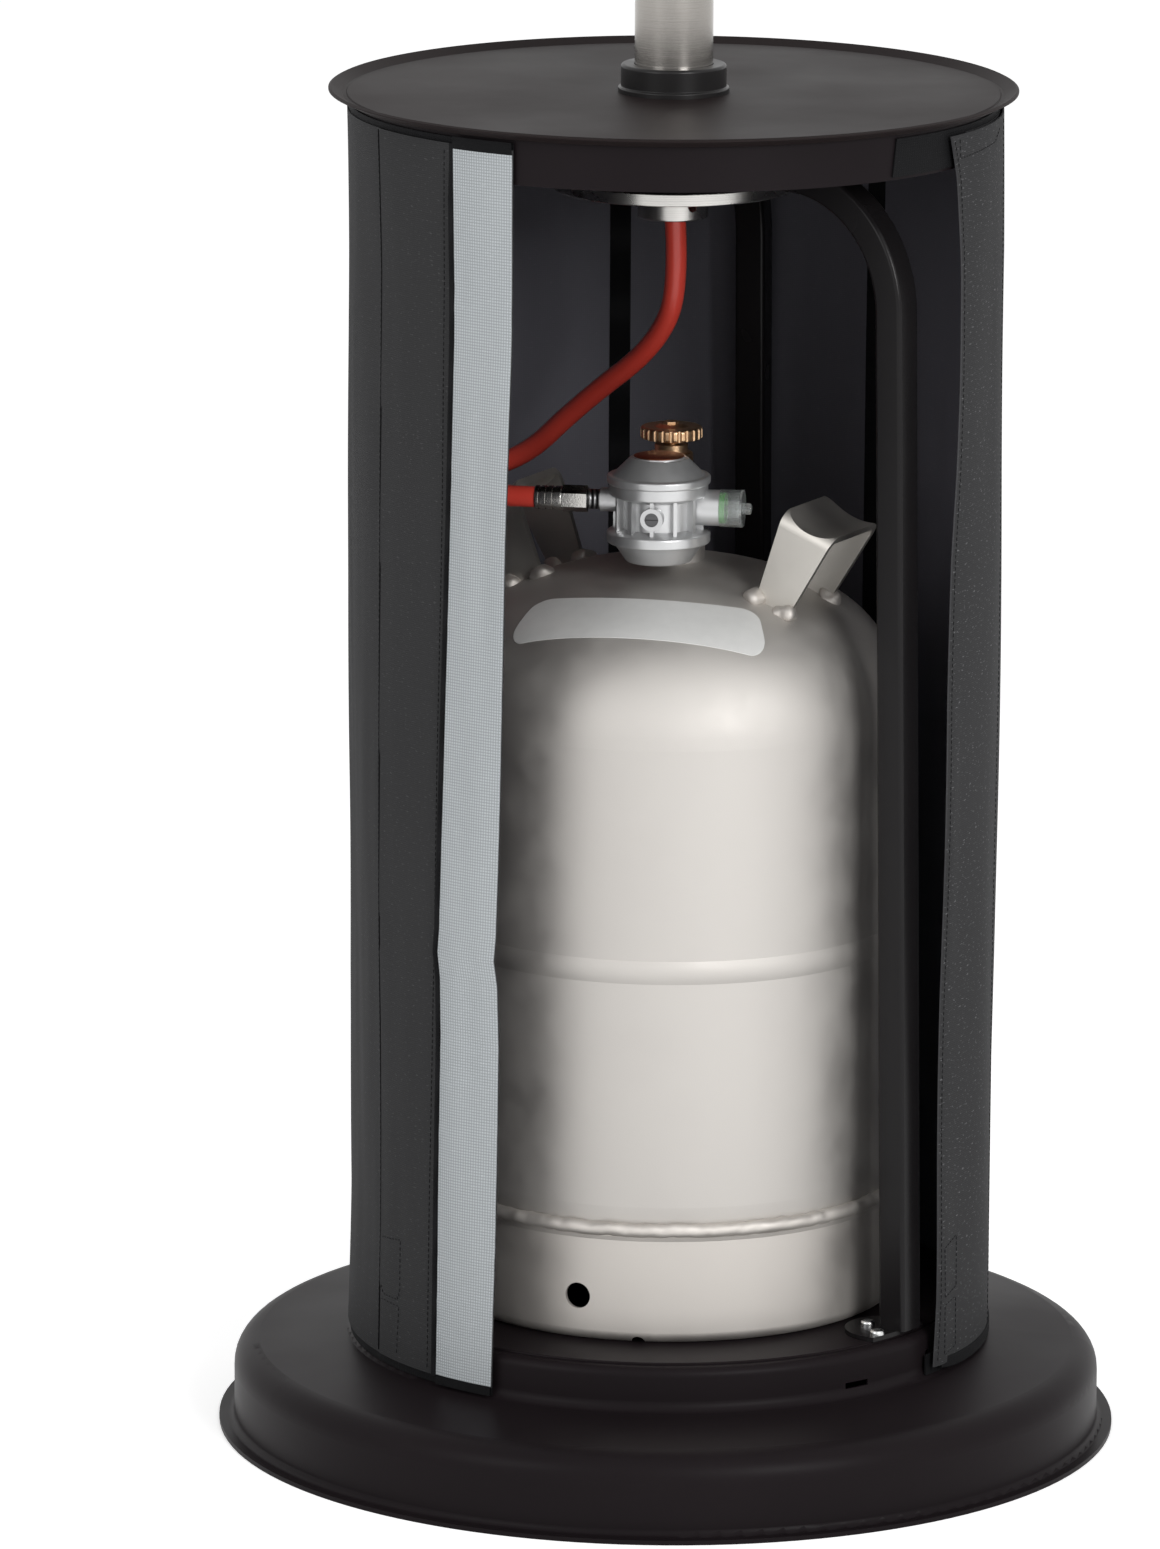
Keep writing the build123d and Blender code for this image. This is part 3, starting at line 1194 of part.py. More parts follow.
def make_hose_ferrule():
    """Crimped sleeve on the hose's end."""
    start = HOSE_NUT_REACH + HOSE_NUT_LENGTH
    end = ferrule_end()
    sleeve = outlet_bar(FERRULE_RADIUS, start, end)
    sleeve = fillet(sleeve.edges().filter_by(GeomType.CIRCLE), 1.0)
    for share in (0.3, 0.55, 0.8):
        place = start + share * FERRULE_LENGTH
        crimp = outlet_bar(FERRULE_RADIUS + 1, place - 1, place + 1)
        crimp -= outlet_bar(FERRULE_RADIUS - 0.6, place - 2, place + 2)
        sleeve -= crimp
    sleeve -= outlet_bar(HOSE_RADIUS, end - 0.5, end + 1)
    return regulator_place(sleeve)


def make_sight_cap():
    """Clear cap over the indicator and the reset button."""
    start = SIGHT_BOSS_REACH
    end = start + SIGHT_CAP_LENGTH
    cap = bar_sideways(SIGHT_CAP_RADIUS, start, end, 0, SIGHT_HEIGHT)
    cap -= bar_sideways(SIGHT_CAP_RADIUS - SIGHT_CAP_WALL, start - 1, end - SIGHT_CAP_WALL, 0, SIGHT_HEIGHT)
    cap -= bar_sideways(BUTTON_RADIUS + SHAFT_GAP, start, end + 1, 0, SIGHT_HEIGHT)
    return regulator_place(cap)


def make_indicator_ring():
    """Green ring seen through the clear cap."""
    start = SIGHT_BOSS_REACH
    ring = bar_sideways(INDICATOR_RADIUS, start, start + INDICATOR_LENGTH, 0, SIGHT_HEIGHT)
    ring -= bar_sideways(BUTTON_HEAD_RADIUS + 1, start - 1, start + INDICATOR_LENGTH + 1, 0, SIGHT_HEIGHT)
    return regulator_place(ring)


def make_reset_button():
    """Clear push button through the cap's end, with its shoulder and stem inside."""
    end = SIGHT_BOSS_REACH + SIGHT_CAP_LENGTH
    shoulder = end - SIGHT_CAP_WALL - SEAT_GAP
    stem_start = SIGHT_BOSS_REACH + 1
    button = bar_sideways(BUTTON_RADIUS, shoulder, end + BUTTON_PROUD, 0, SIGHT_HEIGHT)
    button = fillet(button.edges().filter_by(GeomType.CIRCLE).group_by(Axis.X)[-1], 0.8)
    button += bar_sideways(BUTTON_HEAD_RADIUS, shoulder - BUTTON_HEAD_LENGTH, shoulder, 0, SIGHT_HEIGHT)
    button += bar_sideways(BUTTON_STEM_RADIUS, stem_start, shoulder, 0, SIGHT_HEIGHT)
    return regulator_place(button)


# Gas line


def hose_points():
    """Route of the hose: from the ferrule, by hand round its loop, to the coupling in the pole socket."""
    turn = math.radians(REGULATOR_AZIMUTH)
    along = Vector(-math.cos(turn), -math.sin(turn), 0)
    side = REGULATOR_DISTANCE * math.sin(turn)
    depth = -REGULATOR_DISTANCE * math.cos(turn)
    middle = Vector(side, depth, OUTLET_HEIGHT)
    start = middle + along * (ferrule_end() - 0.5)
    first_corner = start + along * HOSE_FIRST_RUN
    climb = COUPLING_SEAT - OUTLET_HEIGHT
    loop = [Vector(x, y, OUTLET_HEIGHT + share * climb) for x, y, share in HOSE_ROUTE_MIDDLE]
    return [start, first_corner, *loop, Vector(0, 0, COUPLING_SEAT)]


def corner_radii(points):
    """Largest arc that the two runs at each corner allow."""
    radii = []
    for before, corner, after in zip(points, points[1:], points[2:]):
        first = corner - before
        second = after - corner
        half_turn = math.radians(first.get_angle(second)) / 2
        radii.append(HOSE_CORNER_SHARE * min(first.length, second.length) / math.tan(half_turn))
    return radii


def make_gas_hose():
    """Rubber hose along straight runs and tangent arcs."""
    points = hose_points()
    radii = corner_radii(points)
    route = FilletPolyline(*points, radius=radii)
    section = Plane(origin=route @ 0, z_dir=route % 0) * Circle(HOSE_RADIUS)
    hose = sweep(section, path=route)
    expected = math.pi * HOSE_RADIUS**2 * route.length
    print("hose radii", [round(radius, 1) for radius in radii], "length", round(route.length, 1))
    print("hose volume over section times length", round(hose.volume / expected, 4))
    return hose


def make_hose_coupling():
    """Coupling in the pole socket that joins the hose to the riser pipe."""
    top = COUPLING_SEAT + COUPLING_LENGTH
    return turned(
        [
            (0, COUPLING_SEAT),
            (COUPLING_RADIUS, COUPLING_SEAT),
            (COUPLING_RADIUS, top - 6),
            (COUPLING_RADIUS - 4, top - 6),
            (COUPLING_RADIUS - 4, top),
            (0, top),
        ]
    )


def make_gas_riser():
    """Steel pipe up the pole to the burner's gas valve."""
    bottom = COUPLING_SEAT + COUPLING_LENGTH
    valve_back = FASCIA_REACH - FASCIA_SHEET - GAS_VALVE_DEPTH
    route = FilletPolyline(
        (0, 0, bottom),
        (0, 0, CONTROL_HEIGHT),
        (KNOB_OFFSET, -valve_back / 2, CONTROL_HEIGHT),
        (KNOB_OFFSET, -valve_back, CONTROL_HEIGHT),
        radius=[RISER_BEND, RISER_BEND / 2],
    )
    section = Plane(origin=route @ 0, z_dir=route % 0) * Circle(RISER_RADIUS)
    return sweep(section, path=route)


# Burner head


def make_burner_housing():
    """Spun housing: neck round the pole, seat on the pole's end, cone and cylinder."""
    sheet = HOUSING_SHEET
    neck_inner = POLE_RADIUS + SEAT_GAP
    cone = POLE_TOP + HOUSING_CONE_HEIGHT
    seat_inner = POLE_INNER - HOUSING_SEAT_WIDTH
    housing = turned(
        [
            (neck_inner, HOUSING_BOTTOM),
            (HOUSING_NECK_RADIUS, HOUSING_BOTTOM),
            (HOUSING_NECK_RADIUS, POLE_TOP),
            (HOUSING_RADIUS, cone),
            (HOUSING_RADIUS, HOUSING_TOP),
            (HOUSING_RADIUS - sheet, HOUSING_TOP),
            (HOUSING_RADIUS - sheet, cone + sheet),
            (HOUSING_NECK_RADIUS, POLE_TOP + 2 * sheet),
            (seat_inner, POLE_TOP + 2 * sheet),
            (seat_inner, POLE_TOP),
            (neck_inner, POLE_TOP),
        ],
        {3: 10.0, 6: 9.0},
    )
    window = Pos(0, -HOUSING_RADIUS, CONTROL_HEIGHT) * Box(
        FASCIA_WIDTH - 6 * FASCIA_SHEET, HOUSING_RADIUS, FASCIA_HEIGHT - 4 * FASCIA_SHEET
    )
    return housing - window


def knob_axis_bar(radius, back, front):
    """Bar on the control knob's axis."""
    return bar_forward(radius, back, front, KNOB_OFFSET, CONTROL_HEIGHT)


def igniter_bar(radius, back, front):
    """Bar on the igniter's axis."""
    return bar_forward(radius, back, front, IGNITER_OFFSET, CONTROL_HEIGHT)


def make_control_fascia():
    """Flat-fronted fascia on the housing, with the holes for the knob's shaft and the igniter."""
    depth = FASCIA_REACH - HOUSING_RADIUS * 0.6
    block = Pos(0, -FASCIA_REACH + depth / 2, CONTROL_HEIGHT) * Box(FASCIA_WIDTH, depth, FASCIA_HEIGHT)
    block = fillet(block.edges().filter_by(Axis.Y), FASCIA_ROUND)
    block = fillet(block.edges().group_by(Axis.Y)[0], FASCIA_SHEET)
    sheet = FASCIA_SHEET
    hollow = Pos(0, -FASCIA_REACH + sheet + depth / 2, CONTROL_HEIGHT) * Box(
        FASCIA_WIDTH - 2 * sheet, depth, FASCIA_HEIGHT - 2 * sheet
    )
    fascia = block - hollow - pin(HOUSING_RADIUS + CLOSE_GAP, HOUSING_BOTTOM, HOUSING_TOP + 1)
    fascia = max(fascia.solids(), key=lambda solid: solid.volume)
    fascia -= knob_axis_bar(PLUNGER_RADIUS + SHAFT_GAP, 0, FASCIA_REACH + 1)
    fascia -= igniter_bar(IGNITER_BUTTON_RADIUS + SHAFT_GAP, 0, FASCIA_REACH + 1)
    return fascia


def make_gas_valve():
    """Burner gas valve on the back of the fascia, with its outlet pipe boss on top."""
    back = FASCIA_REACH - FASCIA_SHEET - GAS_VALVE_DEPTH
    middle = back + GAS_VALVE_DEPTH / 2
    block = Box(GAS_VALVE_WIDTH, GAS_VALVE_DEPTH, GAS_VALVE_HEIGHT)
    block = Pos(KNOB_OFFSET, -middle, CONTROL_HEIGHT) * block
    block = fillet(block.edges().filter_by(Axis.Y), 3)
    front = FASCIA_REACH - FASCIA_SHEET
    block -= knob_axis_bar(PLUNGER_RADIUS + SHAFT_GAP, front - PLUNGER_LENGTH - KNOB_TRAVEL - 1, front + 1)
    shaft_end = front - PLUNGER_LENGTH - KNOB_TRAVEL - 12
    block -= knob_axis_bar(KNOB_SHAFT_RADIUS + SHAFT_GAP, shaft_end, front + 1)
    return block


def make_valve_plunger():
    """Sprung sleeve that the knob's shaft turns in, which the knob pushes in."""
    front = FASCIA_REACH
    sleeve = knob_axis_bar(PLUNGER_RADIUS, front - PLUNGER_LENGTH, front + 1.5)
    return sleeve - knob_axis_bar(KNOB_SHAFT_RADIUS + SHAFT_GAP, 0, front + 9)


def make_control_knob():
    """Round knob with a grip bar across it, on its shaft."""
    back = FASCIA_REACH + KNOB_GAP
    front = back + KNOB_LENGTH
    skirt = knob_axis_bar(KNOB_RADIUS, back, back + KNOB_LENGTH * 0.4)
    skirt = fillet(skirt.edges().filter_by(GeomType.CIRCLE).group_by(Axis.Y)[0], 2.5)
    grip = Box(KNOB_GRIP_WIDTH, KNOB_LENGTH, 2 * KNOB_RADIUS)
    grip = Pos(KNOB_OFFSET, -(back + KNOB_LENGTH / 2), CONTROL_HEIGHT) * grip
    grip = fillet(grip.edges().group_by(Axis.Y)[0], 2.5)
    grip &= knob_axis_bar(KNOB_RADIUS - 1, back, front)
    shaft = knob_axis_bar(KNOB_SHAFT_RADIUS, FASCIA_REACH - PLUNGER_LENGTH - 8, back + 1)
    return skirt + grip + shaft


def make_igniter():
    """Piezo igniter behind the fascia, with its bezel on the front."""
    front = FASCIA_REACH - FASCIA_SHEET
    body = igniter_bar(IGNITER_RADIUS, front - IGNITER_LENGTH, front)
    well = igniter_bar(IGNITER_BUTTON_RADIUS + SHAFT_GAP, front - IGNITER_TRAVEL - 14, front + 1)
    return body - well


def make_igniter_bezel():
    """Ring round the igniter's button on the fascia's front."""
    ring = igniter_bar(IGNITER_BEZEL_RADIUS, FASCIA_REACH, FASCIA_REACH + IGNITER_BEZEL_HEIGHT)
    ring = fillet(ring.edges().filter_by(GeomType.CIRCLE).group_by(Axis.Y)[0], 0.8)
    return ring - igniter_bar(IGNITER_BUTTON_RADIUS + SEAT_GAP, FASCIA_REACH - 1, FASCIA_REACH + 9)


def make_igniter_button():
    """Push button of the igniter."""
    front = FASCIA_REACH + IGNITER_BEZEL_HEIGHT + IGNITER_BUTTON_PROUD
    button = igniter_bar(IGNITER_BUTTON_RADIUS, FASCIA_REACH - FASCIA_SHEET - 12, front)
    return fillet(button.edges().filter_by(GeomType.CIRCLE).group_by(Axis.Y)[0], 1.2)


def make_floor_plate():
    """Burner floor on the housing, with a lip and the holes for burner and pilot."""
    plate = turned(
        [
            (NOZZLE_RADIUS + SEAT_GAP, HOUSING_TOP),
            (HOUSING_RADIUS + FLOOR_LIP, HOUSING_TOP),
            (HOUSING_RADIUS + FLOOR_LIP, FLOOR_TOP + FLOOR_LIP),
            (HOUSING_RADIUS + FLOOR_LIP - FLOOR_SHEET, FLOOR_TOP + FLOOR_LIP),
            (HOUSING_RADIUS + FLOOR_LIP - FLOOR_SHEET, FLOOR_TOP),
            (NOZZLE_RADIUS + SEAT_GAP, FLOOR_TOP),
        ]
    )
    return plate


def make_main_burner():
    """Nozzle pipe through the floor, and the burner cup over it."""
    base = CONTROL_HEIGHT + GAS_VALVE_HEIGHT / 2 + 2
    cup_bottom = FLOOR_TOP
    cup_top = cup_bottom + BURNER_HEIGHT
    sheet = BURNER_CUP_SHEET
    return turned(
        [
            (0, base),
            (NOZZLE_RADIUS, base),
            (NOZZLE_RADIUS, cup_bottom),
            (NOZZLE_RADIUS + 5, cup_bottom),
            (BURNER_RADIUS, cup_bottom + 12),
            (BURNER_RADIUS, cup_top),
            (BURNER_RADIUS - sheet, cup_top),
            (BURNER_RADIUS - sheet, cup_bottom + 12 + sheet),
            (NOZZLE_RADIUS, cup_bottom + 2 * sheet),
            (0, cup_bottom + 2 * sheet),
        ]
    )


def make_pilot():
    """Pilot tube and thermocouple on the burner floor, two upright pieces at the front."""
    tubes = []
    for x in (-PILOT_SPACING / 2, PILOT_SPACING / 2):
        tube = pin(PILOT_TUBE_RADIUS, FLOOR_TOP, FLOOR_TOP + PILOT_HEIGHT, x, -PILOT_RADIUS)
        tubes.append(fillet(tube.edges().filter_by(GeomType.CIRCLE).group_by(Axis.Z)[-1], 1.5))
    return tubes


def make_tilt_switch():
    """Tilt switch that cuts the gas when the heater falls, under the burner floor."""
    return pin(TILT_SWITCH_RADIUS, HOUSING_TOP - TILT_SWITCH_HEIGHT, HOUSING_TOP, 0, 60)


def make_emitter_screen():
    """Round screen that glows, standing on the burner floor."""
    inner = EMITTER_RADIUS - EMITTER_SHEET
    foot = EMITTER_RADIUS + FLOOR_LIP
    return turned(
        [
            (inner, FLOOR_TOP),
            (foot, FLOOR_TOP),
            (foot, FLOOR_TOP + EMITTER_SHEET),
            (EMITTER_RADIUS, FLOOR_TOP + EMITTER_SHEET),
            (EMITTER_RADIUS, EMITTER_TOP),
            (inner, EMITTER_TOP),
        ]
    )


def make_emitter_cap():
    """Shallow cap on the screen, which carries the hood's studs."""
    rim = EMITTER_RADIUS + 3
    cap = turned(
        [
            (0, EMITTER_TOP),
            (rim, EMITTER_TOP),
            (rim, EMITTER_TOP + EMITTER_CAP_SHEET),
            (STUD_CIRCLE + 12, EMITTER_CAP_TOP),
            (0, EMITTER_CAP_TOP),
        ]
    )
    hollow = turned(
        [
            (0, EMITTER_TOP),
            (STUD_CIRCLE - 14, EMITTER_TOP),
            (STUD_CIRCLE - 14, EMITTER_CAP_TOP - EMITTER_CAP_SHEET),
            (0, EMITTER_CAP_TOP - EMITTER_CAP_SHEET),
        ]
    )
    return cap - hollow


# Reflector hood


def stud_spots():
    """Azimuths of the hood's studs."""
    return [number * 360 / STUD_COUNT for number in range(STUD_COUNT)]


def make_hood_studs():
    """Studs with their spacers, from the emitter cap through the hood."""
    studs = []
    for azimuth in stud_spots():
        spacer = pin(SPACER_RADIUS, EMITTER_CAP_TOP, HOOD_CROWN - HOOD_SHEET, 0, -STUD_CIRCLE)
        stud = pin(STUD_RADIUS, HOOD_CROWN - HOOD_SHEET, HOOD_CROWN + STUD_PROUD, 0, -STUD_CIRCLE)
        studs.append(at_azimuth(azimuth, spacer + stud))
    return studs


def make_wing_nuts():
    """Wing nuts on top of the hood."""
    body = pin(WING_NUT_RADIUS, 0, WING_NUT_HEIGHT)
    wing = Box(WING_SPAN, WING_SHEET, WING_RISE, align=(Align.CENTER, Align.CENTER, Align.MIN))
    wing = fillet(wing.edges().filter_by(Axis.Y), 3.0)
    nut = body + Pos(0, 0, WING_NUT_HEIGHT * 0.4) * wing
    nut -= pin(STUD_RADIUS + CLOSE_GAP, -1, WING_NUT_HEIGHT + WING_RISE + 9)
    return [at_azimuth(azimuth, Pos(0, -STUD_CIRCLE, HOOD_CROWN) * nut) for azimuth in stud_spots()]


def make_hood():
    """Round reflector: flat crown, domed slope and a turned-down lip."""
    sheet = HOOD_SHEET
    middle_radius = (HOOD_CROWN_RADIUS + HOOD_RADIUS) / 2
    middle_height = HOOD_CROWN - HOOD_RISE * 0.36
    rim_end = HOOD_RIM - HOOD_RIM_DROP
    slope_top = ThreePointArc(
        (HOOD_CROWN_RADIUS, 0, HOOD_CROWN), (middle_radius, 0, middle_height), (HOOD_RADIUS, 0, HOOD_RIM)
    )
    slope_under = ThreePointArc(
        (HOOD_RADIUS - sheet, 0, HOOD_RIM - sheet),
        (middle_radius, 0, middle_height - sheet),
        (HOOD_CROWN_RADIUS, 0, HOOD_CROWN - sheet),
    )
    edges = [
        Line((0, 0, HOOD_CROWN), (HOOD_CROWN_RADIUS, 0, HOOD_CROWN)),
        slope_top,
        Line((HOOD_RADIUS, 0, HOOD_RIM), (HOOD_RADIUS, 0, rim_end)),
        Line((HOOD_RADIUS, 0, rim_end), (HOOD_RADIUS - sheet, 0, rim_end)),
        Line((HOOD_RADIUS - sheet, 0, rim_end), (HOOD_RADIUS - sheet, 0, HOOD_RIM - sheet)),
        slope_under,
        Line((HOOD_CROWN_RADIUS, 0, HOOD_CROWN - sheet), (0, 0, HOOD_CROWN - sheet)),
        Line((0, 0, HOOD_CROWN - sheet), (0, 0, HOOD_CROWN)),
    ]
    hood = revolve(Face(Wire([edge.edge() for edge in edges])), Axis.Z, 360)
    for azimuth in stud_spots():
        drill = pin(STUD_RADIUS + SCREW_GAP, HOOD_CROWN - 9, HOOD_CROWN + 9, 0, -STUD_CIRCLE)
        hood -= at_azimuth(azimuth, drill)
    return hood


pieces["base_pan"] = make_base_pan()
pieces["bottle_plate"] = make_bottle_plate()
for leg_name, leg_azimuth in LEG_AZIMUTHS.items():
    pieces["leg_" + leg_name] = make_leg(leg_azimuth)
pieces["leg_foot_plates"] = make_foot_plates()
pieces["leg_foot_screws"] = make_foot_screws()
pieces["mounting_disc"] = make_mounting_disc()
pieces["hub_screws"] = make_hub_screws()
pieces["pole_socket"] = make_pole_socket()
pieces["lower_pole"] = pole_tube(DISC_TOP, POLE_JOINT) - pole_drills()[0]
pieces["upper_pole"] = pole_tube(POLE_JOINT, POLE_TOP) - pole_drills()[1]
pieces["pole_sleeve"] = make_pole_sleeve()
pieces["pole_screws"] = make_pole_screws()
pieces["table_top"] = make_table_top()
pieces["table_skirt"] = make_table_skirt()
pieces["table_support"] = make_table_support()
pieces["pole_collar"] = make_pole_collar()
pieces["skirt_band"] = make_skirt_band()
pieces["hem_band"] = make_hem_band()
pieces["main_cover"] = make_main_cover()
pieces["closure_strip"] = make_closure_strip()
pieces["strip_tabs"] = make_strip_tabs()
pieces["piping"] = make_piping()
pieces["seam_tapes"] = make_seam_tapes()
pieces["cover_door"] = make_cover_door()
pieces["bottle_shell"] = make_bottle_shell()
pieces["foot_ring"] = make_foot_ring()
pieces["bottle_neck"] = make_bottle_neck()
pieces["bottle_handles"] = make_handles()
pieces["bottle_label"] = make_label()
pieces["valve_body"] = make_valve_body()
pieces["valve_spindle"] = make_valve_spindle()
pieces["valve_handwheel"] = make_handwheel()
pieces["handwheel_nut"] = make_handwheel_nut()
pieces["regulator_body"] = make_regulator_body()
pieces["regulator_cap"] = make_regulator_cap()
pieces["port_plug"] = make_port_plug()
pieces["union_nut"] = make_union_nut()
pieces["outlet_nipple"] = make_outlet_nipple()
pieces["hose_nut"] = make_hose_nut()
pieces["hose_ferrule"] = make_hose_ferrule()
pieces["gas_hose"] = make_gas_hose()
pieces["sight_cap"] = make_sight_cap()
pieces["indicator_ring"] = make_indicator_ring()
pieces["reset_button"] = make_reset_button()
pieces["gas_riser"] = [make_hose_coupling(), make_gas_riser()]
pieces["burner_housing"] = make_burner_housing()
pieces["control_fascia"] = make_control_fascia()
pieces["gas_valve"] = make_gas_valve()
pieces["valve_plunger"] = make_valve_plunger()
pieces["control_knob"] = make_control_knob()
pieces["igniter"] = [make_igniter(), make_igniter_bezel()]
pieces["igniter_button"] = make_igniter_button()
pieces["burner_floor"] = [make_floor_plate(), make_tilt_switch()]
pieces["main_burner"] = [make_main_burner(), *make_pilot()]
pieces["emitter_screen"] = [make_emitter_screen(), make_emitter_cap()]
pieces["hood_studs"] = make_hood_studs()
pieces["wing_nuts"] = make_wing_nuts()
pieces["hood"] = make_hood()

os.makedirs("parts", exist_ok=True)
for name, shape in pieces.items():
    solids = shape if isinstance(shape, list) else [shape]
    whole = Compound(children=[solid for part in solids for solid in part.solids()])
    export_step(whole, f"parts/{name}.step")
print(len(pieces), "nodes")
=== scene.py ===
import math

import bpy
from mathutils import Matrix, Vector, noise


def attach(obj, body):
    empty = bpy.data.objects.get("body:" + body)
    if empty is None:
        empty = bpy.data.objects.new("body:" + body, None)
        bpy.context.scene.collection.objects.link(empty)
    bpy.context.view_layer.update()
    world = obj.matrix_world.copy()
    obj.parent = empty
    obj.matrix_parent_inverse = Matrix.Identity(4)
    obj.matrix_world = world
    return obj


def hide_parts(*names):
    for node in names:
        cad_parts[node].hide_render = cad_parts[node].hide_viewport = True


# A mushroom patio heater, dressed from the floor up.
# All sizes are in metres, +Z up, and the front faces -Y.
# An azimuth is in degrees from the front towards +X.
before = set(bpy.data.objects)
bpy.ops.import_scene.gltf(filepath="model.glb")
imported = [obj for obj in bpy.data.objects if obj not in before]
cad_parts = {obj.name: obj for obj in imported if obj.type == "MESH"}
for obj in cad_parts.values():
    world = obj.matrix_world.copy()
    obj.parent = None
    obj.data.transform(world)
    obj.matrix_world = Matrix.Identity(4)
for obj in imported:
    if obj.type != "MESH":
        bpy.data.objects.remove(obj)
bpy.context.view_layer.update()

# The camera: a long lens far in front, well above the table and tilted down, as in the photograph.
camera_data = bpy.data.cameras.new("photo_camera")
camera_data.lens = 231.03
camera_data.sensor_width = 36.0
camera = bpy.data.objects.new("photo_camera", camera_data)
bpy.context.scene.collection.objects.link(camera)
tilt = Matrix.Rotation(math.radians(90 - 12.691), 4, "X")
turn = Matrix.Rotation(math.radians(0.409), 4, "Z")
roll = Matrix.Rotation(math.radians(0.249), 4, "Z")
camera.matrix_world = Matrix.Translation((-0.01293, -6.2525, 1.8365)) @ turn @ tilt @ roll
camera_data.clip_end = 100
bpy.context.scene.camera = camera


# The gas hose: orange-red rubber tube of 13.5 mm, pushed into its crimped sleeve at the regulator.
# It runs out to the left, turns back round the left handle and rises into the socket under the table.
# Extruded rubber is matt and even, with a soft broad sheen and a very fine grain.
def linear(colour):
    """Turns an sRGB hex colour to linear RGBA."""
    channels = [int(colour[place : place + 2], 16) / 255 for place in (1, 3, 5)]
    return [c / 12.92 if c <= 0.04045 else ((c + 0.055) / 1.055) ** 2.4 for c in channels] + [1.0]


def add_node(material, kind, inputs=(), **settings):
    """Adds one node with its settings; inputs maps a socket to a value or to another node's output."""
    tree = material.node_tree
    node = tree.nodes.new("ShaderNode" + kind)
    for name, value in settings.items():
        setattr(node, name, value)
    for socket, value in dict(inputs).items():
        if isinstance(value, bpy.types.NodeSocket):
            tree.links.new(value, node.inputs[socket])
        else:
            node.inputs[socket].default_value = value
    return node


def blank_material(name):
    """Starts a material with an empty node tree."""
    material = bpy.data.materials.new(name)
    material.use_nodes = True
    material.node_tree.nodes.clear()
    return material


hose_rubber = blank_material("extruded_rubber_red")
place = add_node(hose_rubber, "TexCoord")
grain = add_node(
    hose_rubber, "TexNoise", {"Vector": place.outputs["Object"], "Scale": 900.0, "Detail": 3.0}
)
patches = add_node(
    hose_rubber, "TexNoise", {"Vector": place.outputs["Object"], "Scale": 14.0, "Detail": 2.0}
)
tint = add_node(
    hose_rubber,
    "Mix",
    {0: patches.outputs["Fac"], 6: linear("#b83228"), 7: linear("#cc4a3d")},
    data_type="RGBA",
)
gloss = add_node(hose_rubber, "MapRange", {0: patches.outputs["Fac"], 1: 0.3, 2: 0.7, 3: 0.26, 4: 0.36})
relief = add_node(
    hose_rubber, "Bump", {"Height": grain.outputs["Fac"], "Strength": 0.25, "Distance": 0.0001}
)
shader = add_node(hose_rubber, "BsdfPrincipled", {
    "Base Color": tint.outputs[2],
    "Roughness": gloss.outputs[0],
    "IOR": 1.5,
    "Normal": relief.outputs[0],
})
add_node(hose_rubber, "OutputMaterial", {"Surface": shader.outputs[0]})

hose_route = [
    (-0.0860, -0.0400, 0.6185),
    (-0.1384, -0.0320, 0.6185),
    (-0.1750, 0.0100, 0.6140),
    (-0.1780, 0.0640, 0.6090),
    (-0.1460, 0.1070, 0.6060),
    (-0.0986, 0.1120, 0.6118),
    (-0.0587, 0.0770, 0.6576),
    (-0.0090, 0.0330, 0.7042),
    (0.0054, 0.0060, 0.7504),
    (0.0, 0.0, 0.8120),
]
hose_curve = bpy.data.curves.new("gas_hose_tube", "CURVE")
hose_curve.dimensions = "3D"
hose_line = hose_curve.splines.new("NURBS")
hose_line.points.add(len(hose_route) - 1)
for point, spot in zip(hose_line.points, hose_route):
    point.co = (*spot, 1.0)
hose_line.order_u = 3
hose_line.use_endpoint_u = True
hose_line.resolution_u = 24
hose_curve.bevel_depth = 0.00675
hose_curve.bevel_resolution = 8
hose_curve.use_fill_caps = True
gas_hose = bpy.data.objects.new("gas_hose_tube", hose_curve)
bpy.context.scene.collection.objects.link(gas_hose)
hose_curve.materials.append(hose_rubber)
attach(gas_hose, "frame")
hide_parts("gas_hose")


# The base, the plates, the legs, the skirt and the table: spun and bent sheet steel under one powder coat.
# Baked polyester powder is a warm near-black with a fine orange-peel surface and a broad soft gloss.
# On the flat table the same coat is painted lighter and browner: painted light, for the greater light the
# table catches.
def powder_coat(name, dark, light, low_gloss, high_gloss, shine):
    """Powder coat between two tones; shine is how strongly its resin reflects."""
    coat = blank_material(name)
    place = add_node(coat, "TexCoord")
    # The peel of the coat is about 0.8 mm from hump to hump.
    peel = add_node(coat, "TexNoise", {"Vector": place.outputs["Object"], "Scale": 1250.0, "Detail": 2.0})
    cloud = add_node(coat, "TexNoise", {"Vector": place.outputs["Object"], "Scale": 7.0, "Detail": 4.0})
    tint = add_node(
        coat, "Mix", {0: cloud.outputs["Fac"], 6: linear(dark), 7: linear(light)}, data_type="RGBA"
    )
    gloss = add_node(coat, "MapRange", {
        0: cloud.outputs["Fac"],
        1: 0.3,
        2: 0.7,
        3: low_gloss,
        4: high_gloss,
    })
    relief = add_node(coat, "Bump", {"Height": peel.outputs["Fac"], "Strength": 0.3, "Distance": 0.00008})
    shader = add_node(coat, "BsdfPrincipled", {
        "Base Color": tint.outputs[2],
        "Roughness": gloss.outputs[0],
        "Specular IOR Level": shine,
        "Normal": relief.outputs[0],
    })
    add_node(coat, "OutputMaterial", {"Surface": shader.outputs[0]})
    return coat


def dress(material, *names):
    """Gives CAD nodes their material."""
    for name in names:
        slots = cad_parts[name].data.materials
        slots.clear()
        slots.append(material)


